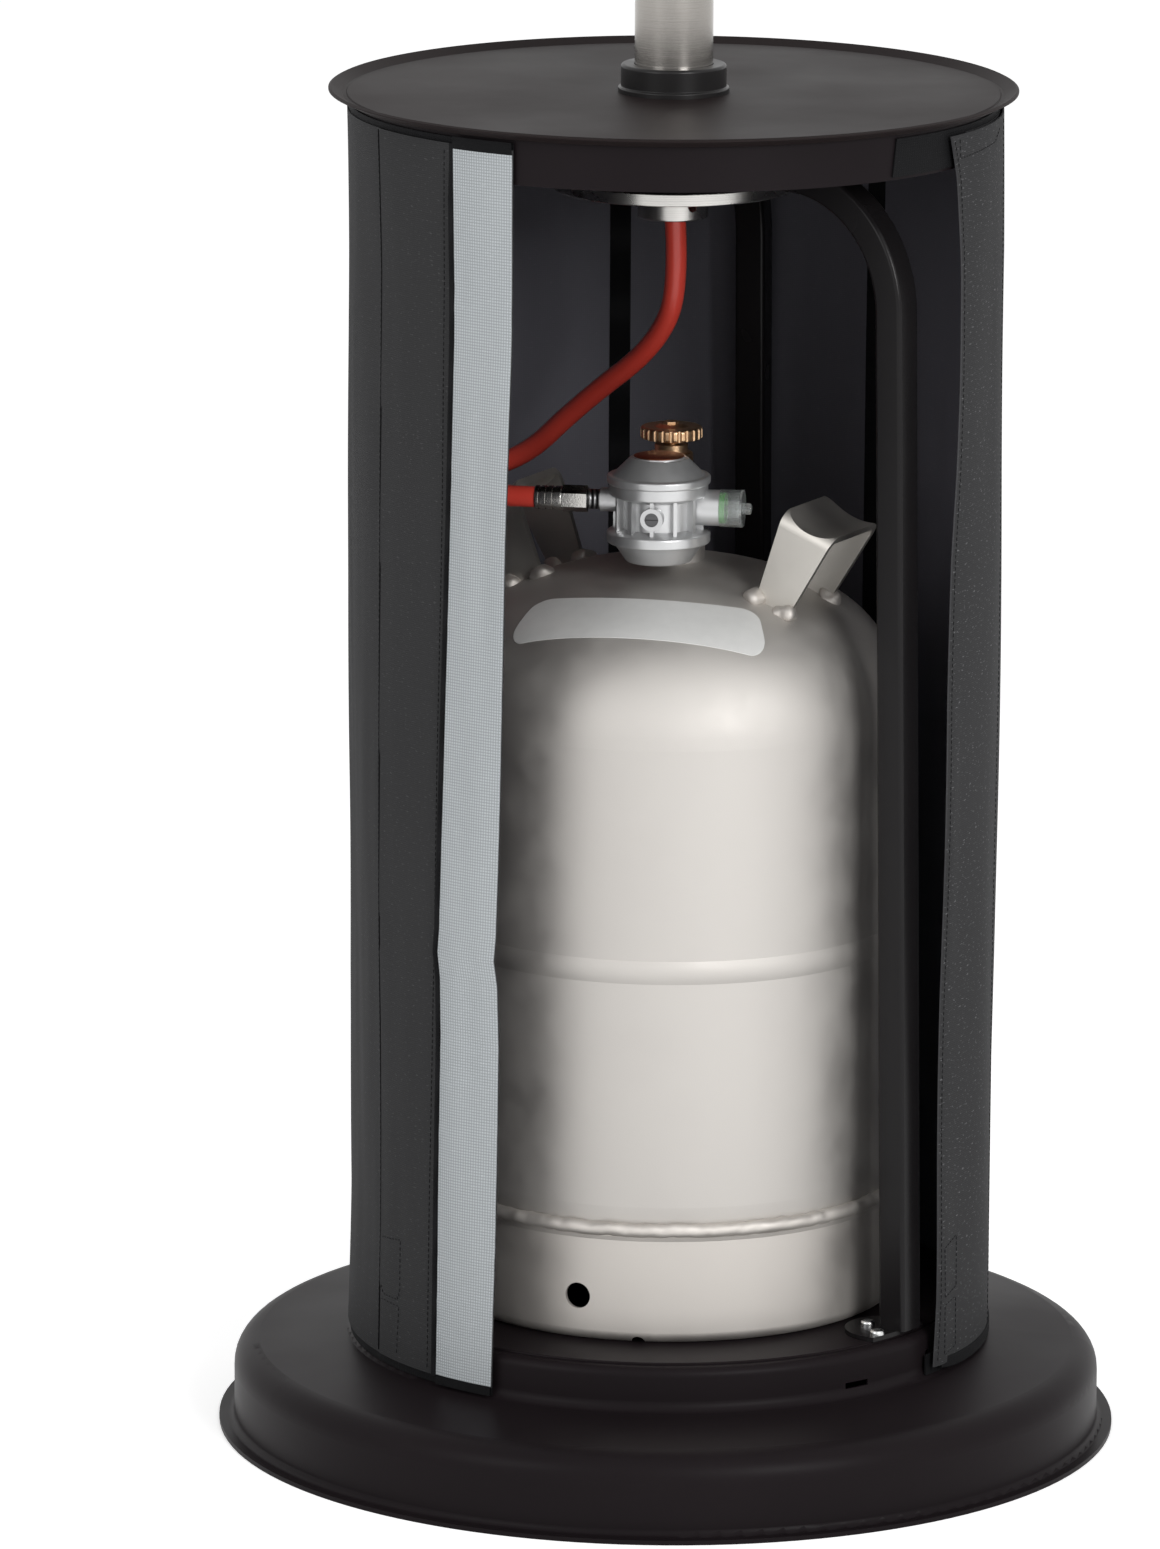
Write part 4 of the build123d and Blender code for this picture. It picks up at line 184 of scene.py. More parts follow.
base_coat = powder_coat("powder_coat_base", "#171315", "#1e191b", 0.36, 0.46, 0.06)
# Painted light: the table's coat is a lighter, browner copy of the base coat.
table_coat_painted_light = powder_coat("powder_coat_table_painted_light", "#1d1717", "#262020", 0.44, 0.56, 0.07)
leg_coat = powder_coat("powder_coat_legs", "#131213", "#1a1819", 0.2, 0.28, 0.16)
dress(base_coat, "base_pan", "bottle_plate", "table_skirt")
dress(leg_coat, "leg_front_right", "leg_rear", "leg_left", "leg_foot_plates", "table_support")
dress(table_coat_painted_light, "table_top")

# The foot and pole screws: zinc-plated pan heads, bright and slightly blue.
# The plating is thin and smooth over the stamped head, so it mirrors with soft smudges.
zinc_plate = blank_material("zinc_plated_screws")
place = add_node(zinc_plate, "TexCoord")
smudge = add_node(
    zinc_plate, "TexNoise", {"Vector": place.outputs["Object"], "Scale": 300.0, "Detail": 2.0}
)
gloss = add_node(zinc_plate, "MapRange", {0: smudge.outputs["Fac"], 1: 0.3, 2: 0.7, 3: 0.16, 4: 0.32})
tint = add_node(
    zinc_plate,
    "Mix",
    {0: smudge.outputs["Fac"], 6: linear("#c6c8ca"), 7: linear("#dcdcda")},
    data_type="RGBA",
)
shader = add_node(zinc_plate, "BsdfPrincipled", {
    "Base Color": tint.outputs[2],
    "Metallic": 1.0,
    "Roughness": gloss.outputs[0],
})
add_node(zinc_plate, "OutputMaterial", {"Surface": shader.outputs[0]})
dress(zinc_plate, "leg_foot_screws", "hub_screws", "pole_screws", "hood_studs", "wing_nuts")


# The mounting disc and the pole socket: stainless steel turned on a lathe.
# The tool leaves fine rings round the axis, 0.5 mm apart, which draw the light out into bands.
def turned_steel(name, dark, light, ring, low_gloss, high_gloss):
    """Bare metal with rings round the pole's axis; ring is their spacing in metres."""
    metal = blank_material(name)
    place = add_node(metal, "TexCoord")
    flat = add_node(metal, "Mapping", {"Vector": place.outputs["Object"], "Scale": (1.0, 1.0, 0.0)})
    radius = add_node(metal, "VectorMath", {0: flat.outputs[0]}, operation="LENGTH")
    height = add_node(metal, "SeparateXYZ", {0: place.outputs["Object"]})
    walk = add_node(metal, "Math", {0: radius.outputs["Value"], 1: height.outputs[2]}, operation="ADD")
    count = add_node(metal, "Math", {0: walk.outputs[0], 1: 1.0 / ring}, operation="MULTIPLY")
    ring_inputs = {"W": count.outputs[0], "Scale": 1.0, "Detail": 3.0}
    rings = add_node(metal, "TexNoise", ring_inputs, noise_dimensions="1D")
    cloud = add_node(metal, "TexNoise", {"Vector": place.outputs["Object"], "Scale": 20.0, "Detail": 3.0})
    tint = add_node(
        metal, "Mix", {0: rings.outputs["Fac"], 6: linear(dark), 7: linear(light)}, data_type="RGBA"
    )
    gloss = add_node(metal, "MapRange", {
        0: cloud.outputs["Fac"],
        1: 0.3,
        2: 0.7,
        3: low_gloss,
        4: high_gloss,
    })
    relief = add_node(
        metal, "Bump", {"Height": rings.outputs["Fac"], "Strength": 0.35, "Distance": 0.00006}
    )
    shader = add_node(metal, "BsdfPrincipled", {
        "Base Color": tint.outputs[2],
        "Metallic": 1.0,
        "Roughness": gloss.outputs[0],
        "Normal": relief.outputs[0],
    })
    add_node(metal, "OutputMaterial", {"Surface": shader.outputs[0]})
    return metal


disc_steel = turned_steel("turned_stainless_disc", "#a9a7a4", "#d6d4d0", 0.0005, 0.22, 0.32)
dress(disc_steel, "mounting_disc", "pole_socket")

# The pole: welded stainless tube, belt-ground across its length and then polished.
# The grind leaves lines round the tube, 0.4 mm apart, and a clean reflection that runs up the pole.
pole_steel = turned_steel("ground_stainless_pole", "#8d8984", "#b6b2ad", 0.0004, 0.16, 0.24)
inner_steel = turned_steel("plain_steel_inside", "#8d8b88", "#a8a6a2", 0.0008, 0.35, 0.5)
dress(pole_steel, "lower_pole", "upper_pole")
plug_steel = turned_steel("dark_plug_steel", "#454546", "#666667", 0.0008, 0.3, 0.42)
dress(inner_steel, "pole_sleeve", "gas_riser", "main_burner")
dress(plug_steel, "port_plug")

# The pole collar and the control fascia with its knob and buttons: injection-moulded black nylon and ABS.
# A fine spark-eroded texture makes the plastic satin, with slightly worn, glossier high spots.
moulded_black = blank_material("moulded_nylon_black")
place = add_node(moulded_black, "TexCoord")
texture = add_node(moulded_black, "TexVoronoi", {"Vector": place.outputs["Object"], "Scale": 1600.0})
worn = add_node(
    moulded_black, "TexNoise", {"Vector": place.outputs["Object"], "Scale": 30.0, "Detail": 4.0}
)
tint = add_node(
    moulded_black,
    "Mix",
    {0: worn.outputs["Fac"], 6: linear("#161516"), 7: linear("#1f1d1d")},
    data_type="RGBA",
)
gloss = add_node(moulded_black, "MapRange", {0: worn.outputs["Fac"], 1: 0.3, 2: 0.7, 3: 0.3, 4: 0.42})
relief = add_node(
    moulded_black, "Bump", {"Height": texture.outputs["Distance"], "Strength": 0.2, "Distance": 0.00005}
)
shader = add_node(moulded_black, "BsdfPrincipled", {
    "Base Color": tint.outputs[2],
    "Roughness": gloss.outputs[0],
    "Specular IOR Level": 0.25,
    "Normal": relief.outputs[0],
})
add_node(moulded_black, "OutputMaterial", {"Surface": shader.outputs[0]})
dress(moulded_black, "pole_collar", "control_fascia", "control_knob")
dress(moulded_black, "igniter", "igniter_button", "valve_plunger")


# The cover: one wide piece of coated polyester Oxford cloth round the back, hung from the skirt.
# Outside it is a charcoal weave with pale flecks where threads cross. Inside, it is smooth and bluish.
# It hangs nearly straight, with shallow hollows between the places where it is held.
COVER_RADIUS = 0.2080
COVER_HEM = 0.068
COVER_TOP = 0.864
COVER_START = 62.0
CLOTH_THICKNESS = 0.0011
LEFT_SEAM = 297.1
FREE_EDGE = [
    (0.068, -32.3),
    (0.192, -31.9),
    (0.290, -31.5),
    (0.330, -31.8),
    (0.346, -32.5),
    (0.362, -32.1),
    (0.452, -31.3),
    (0.529, -30.7),
    (0.606, -30.1),
    (0.676, -29.4),
    (0.740, -28.8),
    (0.864, -28.6),
]


def between(table, height):
    """Value of a table of heights and values at a height."""
    for (low, first), (high, second) in zip(table, table[1:]):
        if height <= high:
            share = max(0.0, (height - low) / (high - low))
            return first + (second - first) * share
    return table[-1][1]


def on_wall(azimuth, radius, height):
    """Point at an azimuth and radius round the pole's axis."""
    angle = math.radians(azimuth)
    return Vector((radius * math.sin(angle), -radius * math.cos(angle), height))


def hold(height):
    """Nought where the cloth is held at its top and hem, and one between."""
    share = (height - COVER_HEM) / (COVER_TOP - COVER_HEM)
    return max(0.0, min(1.0, 9 * share)) * max(0.0, min(1.0, 9 * (1 - share)))


def cloth_hollow(azimuth, height):
    """How far the cover sinks inwards, in metres."""
    angle = math.radians(azimuth)
    slow = noise.noise(Vector((3.1 * math.sin(angle), 3.1 * math.cos(angle), 2.6 * height)))
    fine = noise.noise(Vector((13 * math.sin(angle), 13 * math.cos(angle), 7 * height + 4)))
    # Beyond the left seam the cloth laps over the rest, 0.7 mm prouder.
    lap = 0.0007 if azimuth % 360 < LEFT_SEAM else 0.0
    return hold(height) * (0.0016 + 0.0030 * slow + 0.0008 * fine) + lap


def hang_cloth(name, columns, rows, place, thickness, outside, inside, edge=None):
    """Grid sheet whose points are placed by share across and share up, thickened inwards."""
    bpy.ops.object.select_all(action="DESELECT")
    bpy.ops.mesh.primitive_grid_add(x_subdivisions=columns, y_subdivisions=rows, size=1, calc_uvs=True)
    cloth = bpy.context.object
    cloth.name = name
    cloth.data.name = name
    for vertex in cloth.data.vertices:
        vertex.co = place(vertex.co.x + 0.5, vertex.co.y + 0.5)
    cloth.data.materials.append(outside)
    cloth.data.materials.append(inside)
    wall = cloth.modifiers.new("wall", "SOLIDIFY")
    wall.thickness = thickness
    wall.offset = -1
    wall.use_even_offset = True
    wall.material_offset = 1
    if edge:
        cloth.data.materials.append(edge)
        wall.material_offset_rim = 2
    bpy.ops.object.modifier_apply(modifier="wall")
    bpy.ops.object.shade_smooth_by_angle(angle=math.radians(40))
    return cloth


def woven_cloth(name, across, up, dark, light, fleck, flecks, roughness, bump):
    """Plain weave on the piece's own UV map; across and up are the numbers of threads."""
    cloth = blank_material(name)
    place = add_node(cloth, "TexCoord")
    threads = add_node(cloth, "Mapping", {"Vector": place.outputs["UV"], "Scale": (across, up, 1.0)})
    warp = add_node(cloth, "TexWave", {"Vector": threads.outputs[0], "Scale": 0.314}, bands_direction="X")
    weft = add_node(cloth, "TexWave", {"Vector": threads.outputs[0], "Scale": 0.314}, bands_direction="Y")
    weave = add_node(cloth, "Math", {0: warp.outputs["Fac"], 1: weft.outputs["Fac"]}, operation="MULTIPLY")
    streak_place = add_node(cloth, "Mapping", {"Vector": threads.outputs[0], "Scale": (0.35, 0.9, 1.0)})
    streaks = add_node(cloth, "TexNoise", {"Vector": streak_place.outputs[0], "Scale": 1.0, "Detail": 2.0})
    cloud = add_node(cloth, "TexNoise", {"Vector": place.outputs["Object"], "Scale": 5.0, "Detail": 5.0})
    spots = add_node(cloth, "MapRange", {0: streaks.outputs["Fac"], 1: 0.62, 2: 0.74, 3: 0.0, 4: flecks})
    tint = add_node(
        cloth, "Mix", {0: cloud.outputs["Fac"], 6: linear(dark), 7: linear(light)}, data_type="RGBA"
    )
    flecked = add_node(
        cloth, "Mix", {0: spots.outputs[0], 6: tint.outputs[2], 7: linear(fleck)}, data_type="RGBA"
    )
    # Painted shade: the gaps between the threads are mixed towards near-black #101012, more deeply the
    # larger bump is.
    painted_gap_shade = add_node(cloth, "MapRange", {0: weave.outputs[0], 1: 0.0, 2: 0.4, 3: 0.6 * bump, 4: 0.0})
    shaded = add_node(
        cloth, "Mix", {0: painted_gap_shade.outputs[0], 6: flecked.outputs[2], 7: linear("#101012")}, data_type="RGBA"
    )
    relief = add_node(cloth, "Bump", {"Height": weave.outputs[0], "Strength": bump, "Distance": 0.0003})
    shader = add_node(cloth, "BsdfPrincipled", {
        "Base Color": shaded.outputs[2],
        "Roughness": roughness,
        "Specular IOR Level": 0.12,
        "Normal": relief.outputs[0],
    })
    add_node(cloth, "OutputMaterial", {"Surface": shader.outputs[0]})
    return cloth


# The real threads are 0.5 mm apart, drawn at 1.3 mm so that they show: 740 across the cover and 610 up.
oxford_cloth = woven_cloth(
    "polyester_oxford_charcoal", 740, 610, "#323233", "#3a3a3b", "#6c6c6d", 0.3, 0.78, 0.35
)
cloth_coating = woven_cloth(
    "coated_cloth_inside", 740, 610, "#54535a", "#605f66", "#6c6b71", 0.3, 0.62, 0.12
)


def cover_spot(across, up):
    """Point of the cover, from its start behind the flap round the back to its free edge."""
    height = COVER_HEM + up * (COVER_TOP - COVER_HEM)
    end = 360 + between(FREE_EDGE, height)
    azimuth = COVER_START + across * (end - COVER_START)
    return on_wall(azimuth, COVER_RADIUS - cloth_hollow(azimuth, height), height)


cover_wall = hang_cloth(
    "cover_wall", 320, 150, cover_spot, CLOTH_THICKNESS, oxford_cloth, cloth_coating
)
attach(cover_wall, "frame")
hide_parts("main_cover")

# The door flap: the right-hand end of the cover, opened and laid back round the outside of its right side.
# Its free edge is hemmed double and stitched, and leans and waves a little as cloth does.
FLAP_RADIUS = 0.20995
FLAP_SEAM = 165.5
FLAP_EDGE = [
    (0.068, 54.6),
    (0.112, 55.2),
    (0.310, 55.3),
    (0.408, 55.7),
    (0.505, 56.0),
    (0.594, 56.8),
    (0.650, 57.9),
    (0.700, 58.3),
    (0.791, 58.1),
    (0.836, 57.4),
    (0.864, 55.6),
]
flap_cloth = woven_cloth(
    "polyester_oxford_flap", 306, 610, "#313132", "#3a3a3b", "#7c7c7e", 0.75, 0.78, 0.35
)
# Painted light: the flap's inside is a lighter copy of the cover's inner coating, for the broad light that
# falls on it.
flap_coating_painted_light = woven_cloth(
    "coated_flap_inside_painted_light", 306, 610, "#5e5d63", "#6b6a70", "#77767c", 0.3, 0.62, 0.12
)


def flap_swell(azimuth, height):
    """How far the flap stands outwards, in metres."""
    angle = math.radians(azimuth)
    slow = noise.noise(Vector((4 * math.sin(angle), 4 * math.cos(angle), 3 * height + 9)))
    near_edge = math.exp(-(((azimuth - 57) / 2.5) ** 2))
    curl = 0.0016 * near_edge * (0.5 + 0.5 * math.sin(19 * height))
    return hold(height) * (0.0013 + 0.0024 * slow) + curl


def flap_spot(across, up):
    """Point of the flap, from its free edge to the seam at the back."""
    height = COVER_HEM + up * (COVER_TOP - COVER_HEM)
    start = between(FLAP_EDGE, height)
    azimuth = start + across * (FLAP_SEAM - start)
    return on_wall(azimuth, FLAP_RADIUS + max(0.0, flap_swell(azimuth, height)), height)


cut_edge = woven_cloth("cut_cloth_edge", 306, 610, "#434345", "#545456", "#7a7a7c", 0.5, 0.85, 0.2)
cover_flap = hang_cloth(
    "cover_flap", 140, 150, flap_spot, CLOTH_THICKNESS, flap_cloth, flap_coating_painted_light, cut_edge
)
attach(cover_flap, "door")
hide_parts("cover_door")

# The closure strip: light grey canvas sewn along the cover's free edge, where the flap fastens.
# It is a coarser open weave, drawn with 1.9 mm threads, and its seams pucker it finely.
STRIP_WIDTH = 12.4
STRIP_RADIUS = 0.20855
STRIP_HEM = 0.069
STRIP_LENGTH = 0.792
STRIP_THICKNESS = 0.0005
canvas_grey = woven_cloth("grey_canvas_strip", 24, 420, "#b3b8bb", "#c2c7ca", "#d0d5d7", 0.35, 0.85, 0.6)


def strip_spot(across, up):
    """Point of the strip, which follows the cover's free edge."""
    height = STRIP_HEM + up * STRIP_LENGTH
    right = between(FREE_EDGE, height)
    azimuth = right - STRIP_WIDTH + across * STRIP_WIDTH
    pucker = 0.00022 * (1 + noise.noise(Vector((across * 2, height * 90, 3))))
    return on_wall(azimuth, STRIP_RADIUS - cloth_hollow(azimuth, height) + pucker, height)


closure_strip = hang_cloth(
    "closure_canvas", 20, 260, strip_spot, STRIP_THICKNESS, canvas_grey, canvas_grey
)
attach(closure_strip, "frame")
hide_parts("closure_strip")

# The trims: black nylon webbing and binding, woven in close ribs.
# Bands run behind the cover at the skirt and the hem, tapes cover two inner seams, and tabs end the strip.
SKIRT_BAND_RADIUS = 0.2064
HEM_BAND_RADIUS = 0.2059
BAND_THICKNESS = 0.0012
webbing = woven_cloth("nylon_webbing_black", 500, 16, "#0d0d0e", "#141416", "#202023", 0.5, 0.75, 0.6)


def skirt_band_spot(across, up):
    """Point of the band on the skirt, slightly fuzzy as worn loops are."""
    lean = 41.2 + 0.9 * up
    azimuth = lean + across * (360 - 28.8 - lean)
    height = 0.844 + 0.024 * up
    fuzz = 0.0002 * noise.noise(Vector((azimuth * 3, height * 900, 1)))
    return on_wall(azimuth, SKIRT_BAND_RADIUS + fuzz, height)


loop_band = hang_cloth("skirt_loop_band", 400, 8, skirt_band_spot, BAND_THICKNESS, webbing, webbing)
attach(loop_band, "frame")
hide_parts("skirt_band")


def hem_band_spot(across, up):
    """Point of the band at the plinth."""
    azimuth = 54.0 + across * (360 - 32.6 - 54.0)
    height = 0.0623 + 0.0135 * up
    return on_wall(azimuth, HEM_BAND_RADIUS, height)


hem_binding = hang_cloth("hem_binding", 300, 4, hem_band_spot, BAND_THICKNESS, webbing, webbing)
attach(hem_binding, "frame")
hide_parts("hem_band")


def join_pieces(pieces):
    """Joins pieces into the first of them."""
    bpy.ops.object.select_all(action="DESELECT")
    for piece in pieces:
        piece.select_set(True)
    bpy.context.view_layer.objects.active = pieces[0]
    bpy.ops.object.join()
    return pieces[0]


TAPE_RADIUS = 0.2068
TAPE_HALF_WIDTH = 1.94


def add_tape(name, azimuth):
    """Tape down one inner seam."""

    def tape_spot(across, up):
        angle = azimuth - TAPE_HALF_WIDTH + across * 2 * TAPE_HALF_WIDTH
        height = 0.080 + up * 0.760
        return on_wall(angle, TAPE_RADIUS - cloth_hollow(angle, height), height)

    return hang_cloth(name, 4, 90, tape_spot, 0.0006, webbing, webbing)


seam_tapes = add_tape("inner_seam_tapes", 139.4)
second_tape = add_tape("second_tape", 189.6)
join_pieces([seam_tapes, second_tape])
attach(seam_tapes, "frame")
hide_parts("seam_tapes")

TAB_RADIUS = 0.20856


def top_tab_spot(across, up):
    """Point of the tab over the strip's top end."""
    height = 0.8612 + 0.0076 * up
    return on_wall(-41.2 + across * STRIP_WIDTH, TAB_RADIUS, height)


def low_tab_spot(across, up):
    """Point of the tab over the strip's lower end."""
    height = 0.0626 + 0.0064 * up
    return on_wall(-44.9 + across * STRIP_WIDTH, TAB_RADIUS, height)


strip_tabs = hang_cloth("strip_end_tabs", 14, 4, top_tab_spot, STRIP_THICKNESS, webbing, webbing)
low_tab = hang_cloth("low_tab", 14, 4, low_tab_spot, STRIP_THICKNESS, webbing, webbing)
join_pieces([strip_tabs, low_tab])
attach(strip_tabs, "frame")
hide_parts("strip_tabs")

# The piping: a bound cord sewn in along the strip's left seam, round outside and pulled in by its stitches.
# It is a half-round roll, made from a flat strip that is crowned in the middle.
PIPING_RADIUS = 0.20812
PIPING_CROWN = 0.0027


def piping_spot(across, up):
    """Point of the piping, just left of the strip."""
    height = COVER_HEM + up * (COVER_TOP - COVER_HEM)
    left = between(FREE_EDGE, height) - STRIP_WIDTH
    azimuth = left - 1.05 + across * 1.0
    # It flattens towards its top end, where the closed flap's corner passes over it.
    fullness = max(0.0, min(1.0, (0.860 - height) / 0.030))
    crown = PIPING_CROWN * fullness * math.sqrt(max(0.0, 1 - (2 * across - 1) ** 2))
    ripple = 0.0002 * math.sin(height * 900) * across * (1 - across)
    radius = PIPING_RADIUS - cloth_hollow(azimuth, height) + crown + ripple
    return on_wall(azimuth, radius, height)


piping_roll = hang_cloth("piping_roll", 10, 300, piping_spot, 0.0004, webbing, webbing)
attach(piping_roll, "frame")
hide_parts("piping")

# The flap's binding: the same webbing folded round its lower edge, rounded up at the free corner.
# It is sewn to the flap, so it moves with it.
BINDING_START = 55.6
BINDING_END = 165.3


def flap_binding_spot(across, up):
    """Point of the binding along the flap's lower edge."""
    corner = math.exp(-across * 22)
    start = BINDING_START + 1.4 * corner
    azimuth = start + across * (BINDING_END - start)
    height = 0.0625 + 0.0075 * up + 0.0035 * corner
    return on_wall(azimuth, FLAP_RADIUS + 0.0009, height)


flap_binding = hang_cloth("flap_binding", 200, 4, flap_binding_spot, 0.0008, webbing, webbing)
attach(flap_binding, "door")

# The stitching: black polyester thread in a lockstitch, 3 mm stitches with 1 mm between.
# It shows on the cover's left seam and patches, and on the flap's hem, patches and top corner.
STITCH_STEP = 0.0038
STITCH_LIFT = 0.0002
thread = blank_material("polyester_thread_black")
place = add_node(thread, "TexCoord")
twist = add_node(thread, "TexNoise", {"Vector": place.outputs["Object"], "Scale": 1500.0, "Detail": 2.0})
tint = add_node(
    thread, "Mix", {0: twist.outputs["Fac"], 6: linear("#0b0b0c"), 7: linear("#1a1a1c")}, data_type="RGBA"
)
shader = add_node(
    thread, "BsdfPrincipled", {"Base Color": tint.outputs[2], "Roughness": 0.7, "Specular IOR Level": 0.2}
)
add_node(thread, "OutputMaterial", {"Surface": shader.outputs[0]})

bpy.ops.object.select_all(action="DESELECT")
bpy.ops.mesh.primitive_uv_sphere_add(segments=6, ring_count=4, radius=1)
one_stitch = bpy.context.object
one_stitch.name = "one_stitch"
one_stitch.data.transform(Matrix.Diagonal((0.00035, 0.00030, 0.0014, 1.0)))


def sew(name, lines, surface, body):
    """Rows of stitches along lines of (azimuth, height) corners, on a surface of radius by place."""
    stitches = []
    for line in lines:
        for (start_turn, start_height), (end_turn, end_height) in zip(line, line[1:]):
            run = math.hypot(math.radians(end_turn - start_turn) * COVER_RADIUS, end_height - start_height)
            count = max(1, round(run / STITCH_STEP))
            for number in range(count):
                share = (number + 0.5) / count
                azimuth = start_turn + (end_turn - start_turn) * share
                height = start_height + (end_height - start_height) * share
                spot = on_wall(azimuth, surface(azimuth, height) + STITCH_LIFT, height)
                ahead_turn = azimuth + (end_turn - start_turn) * 0.01
                ahead_height = height + (end_height - start_height) * 0.01
                ahead = on_wall(ahead_turn, surface(ahead_turn, ahead_height) + STITCH_LIFT, ahead_height)
                stitch = bpy.data.objects.new("stitch", one_stitch.data.copy())
                along = (ahead - spot).to_track_quat("Z", "Y").to_matrix().to_4x4()
                stitch.data.transform(Matrix.Translation(spot) @ along)
                bpy.context.scene.collection.objects.link(stitch)
                stitches.append(stitch)
    row = join_pieces(stitches)
    row.name = name
    row.data.name = name
    row.data.materials.clear()
    row.data.materials.append(thread)
    bpy.ops.object.shade_smooth()
    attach(row, body)
    return row


def cover_surface(azimuth, height):
    """Radius of the cover's outside."""
    return COVER_RADIUS - cloth_hollow(azimuth, height)


def flap_surface(azimuth, height):
    """Radius of the flap's outside."""
    return FLAP_RADIUS + max(0.0, flap_swell(azimuth, height))


def cover_seam_spot(across, up):
    """Point of the dark seam line under the cover's left row of stitches."""
    height = 0.070 + up * 0.793
    azimuth = 297.0 + 0.22 * across
    return on_wall(azimuth, cover_surface(azimuth, height) + 0.0003, height)


cover_seam = hang_cloth("cover_seam", 3, 150, cover_seam_spot, 0.0004, thread, thread)
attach(cover_seam, "frame")
cover_stitches = sew(
    "cover_stitches",
    [
        [(-62.9, 0.071), (-62.9, 0.861)],
        [(-47.2, 0.071), (-46.2, 0.300), (-44.9, 0.560), (-43.2, 0.860)],
        [(-62.2, 0.146), (-55.4, 0.149), (-55.4, 0.114), (-56.4, 0.109), (-61.2, 0.109), (-62.2, 0.114)],
        [(-62.2, 0.105), (-55.6, 0.105), (-56.2, 0.073)],
    ],
    cover_surface,
    "frame",
)
flap_stitches = sew(
    "flap_stitches",
    [
        [(edge + 0.9, max(0.071, min(0.861, height))) for height, edge in FLAP_EDGE],
        [(57.2, 0.145), (61.8, 0.150), (62.0, 0.116), (57.4, 0.112), (57.2, 0.145)],
        [(57.4, 0.107), (61.9, 0.109), (62.2, 0.076), (57.6, 0.074), (57.4, 0.107)],
        [(58.2, 0.862), (58.3, 0.849), (74.7, 0.851), (78.7, 0.858)],
        [(83.6, 0.071), (83.6, 0.861)],
    ],
    flap_surface,
    "door",
)
bpy.data.objects.remove(one_stitch)


# The gas bottle: drawn aluminium in two welded halves with a rolled foot ring, bead-blasted all over.
# The blasted skin is matt, warm and slightly mottled.
def blasted_aluminium(name, dark, light, low_gloss, high_gloss):
    """Bead-blasted or worn bare aluminium."""
    metal = blank_material(name)
    place = add_node(metal, "TexCoord")
    # Beads leave pits of about 0.6 mm.
    pits = add_node(
        metal, "TexNoise", {"Vector": place.outputs["Object"], "Scale": 1600.0, "Detail": 2.0}
    )
    blotch = add_node(metal, "TexNoise", {
        "Vector": place.outputs["Object"],
        "Scale": 26.0,
        "Detail": 6.0,
        "Roughness": 0.6,
    })
    tint = add_node(
        metal, "Mix", {0: blotch.outputs["Fac"], 6: linear(dark), 7: linear(light)}, data_type="RGBA"
    )
    gloss = add_node(metal, "MapRange", {
        0: blotch.outputs["Fac"],
        1: 0.3,
        2: 0.7,
        3: low_gloss,
        4: high_gloss,
    })
    relief = add_node(
        metal, "Bump", {"Height": pits.outputs["Fac"], "Strength": 0.35, "Distance": 0.00012}
    )
    shader = add_node(metal, "BsdfPrincipled", {
        "Base Color": tint.outputs[2],
        "Metallic": 1.0,
        "Roughness": gloss.outputs[0],
        "Normal": relief.outputs[0],
    })
    add_node(metal, "OutputMaterial", {"Surface": shader.outputs[0]})
    return metal


bottle_skin = blasted_aluminium("bead_blasted_aluminium", "#b4b0ac", "#c6c3bf", 0.58, 0.7)
handle_skin = blasted_aluminium("mill_finish_aluminium", "#b9b5af", "#cbc8c2", 0.42, 0.54)
ring_skin = blasted_aluminium("bead_blasted_foot_ring", "#bcb7b2", "#cecac5", 0.58, 0.7)
dress(bottle_skin, "bottle_shell", "bottle_neck")
dress(ring_skin, "foot_ring")
dress(handle_skin, "bottle_handles")

# The weld round the foot ring's top: a thin uneven bead laid by hand between ring and wall.
# It has the ring's blasted finish, and swells and thins by about a millimetre as it runs.
FOOT_WELD_RADIUS = 0.1500
FOOT_WELD_HEIGHT = 0.1650
bpy.ops.object.select_all(action="DESELECT")
bpy.ops.mesh.primitive_torus_add(
    major_radius=FOOT_WELD_RADIUS,
    minor_radius=0.0046,
    major_segments=300,
    minor_segments=12,
)
foot_weld = bpy.context.object
foot_weld.name = "foot_ring_weld"
foot_weld.data.name = "foot_ring_weld"
for vertex in foot_weld.data.vertices:
    outwards = Vector((vertex.co.x, vertex.co.y, 0)).normalized()
    lump = noise.noise(Vector((vertex.co.x * 170, vertex.co.y * 170, 0)))
    vertex.co += outwards * 0.0013 * lump + Vector((0, 0, FOOT_WELD_HEIGHT + 0.0016 * lump))
bpy.ops.object.shade_smooth()
foot_weld.data.materials.append(ring_skin)
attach(foot_weld, "frame")

# The welds at the handles' feet: short rounded lumps at each corner, brighter than the blasted skin.
# Each is a blob of filler metal about 16 mm wide, which ties the foot to the bottle's crown.
CROWN_RADIUS = 0.2458
CROWN_CENTRE = 0.3267
CROWN_END = 0.101
KNUCKLE_RADIUS = 0.080
KNUCKLE_OUT = 0.070
KNUCKLE_CENTRE = 0.477
HANDLE_AZIMUTHS = (62.0, -117.0)
FOOT_CORNERS = (0.0775, 0.0985)
FOOT_HALF_WIDTH = 0.0300


def shoulder_height(radius):
    """Height of the bottle's crown or knuckle at a distance from the axis."""
    if radius < CROWN_END:
        return CROWN_CENTRE + math.sqrt(CROWN_RADIUS**2 - radius**2)
    return KNUCKLE_CENTRE + math.sqrt(KNUCKLE_RADIUS**2 - (radius - KNUCKLE_OUT) ** 2)


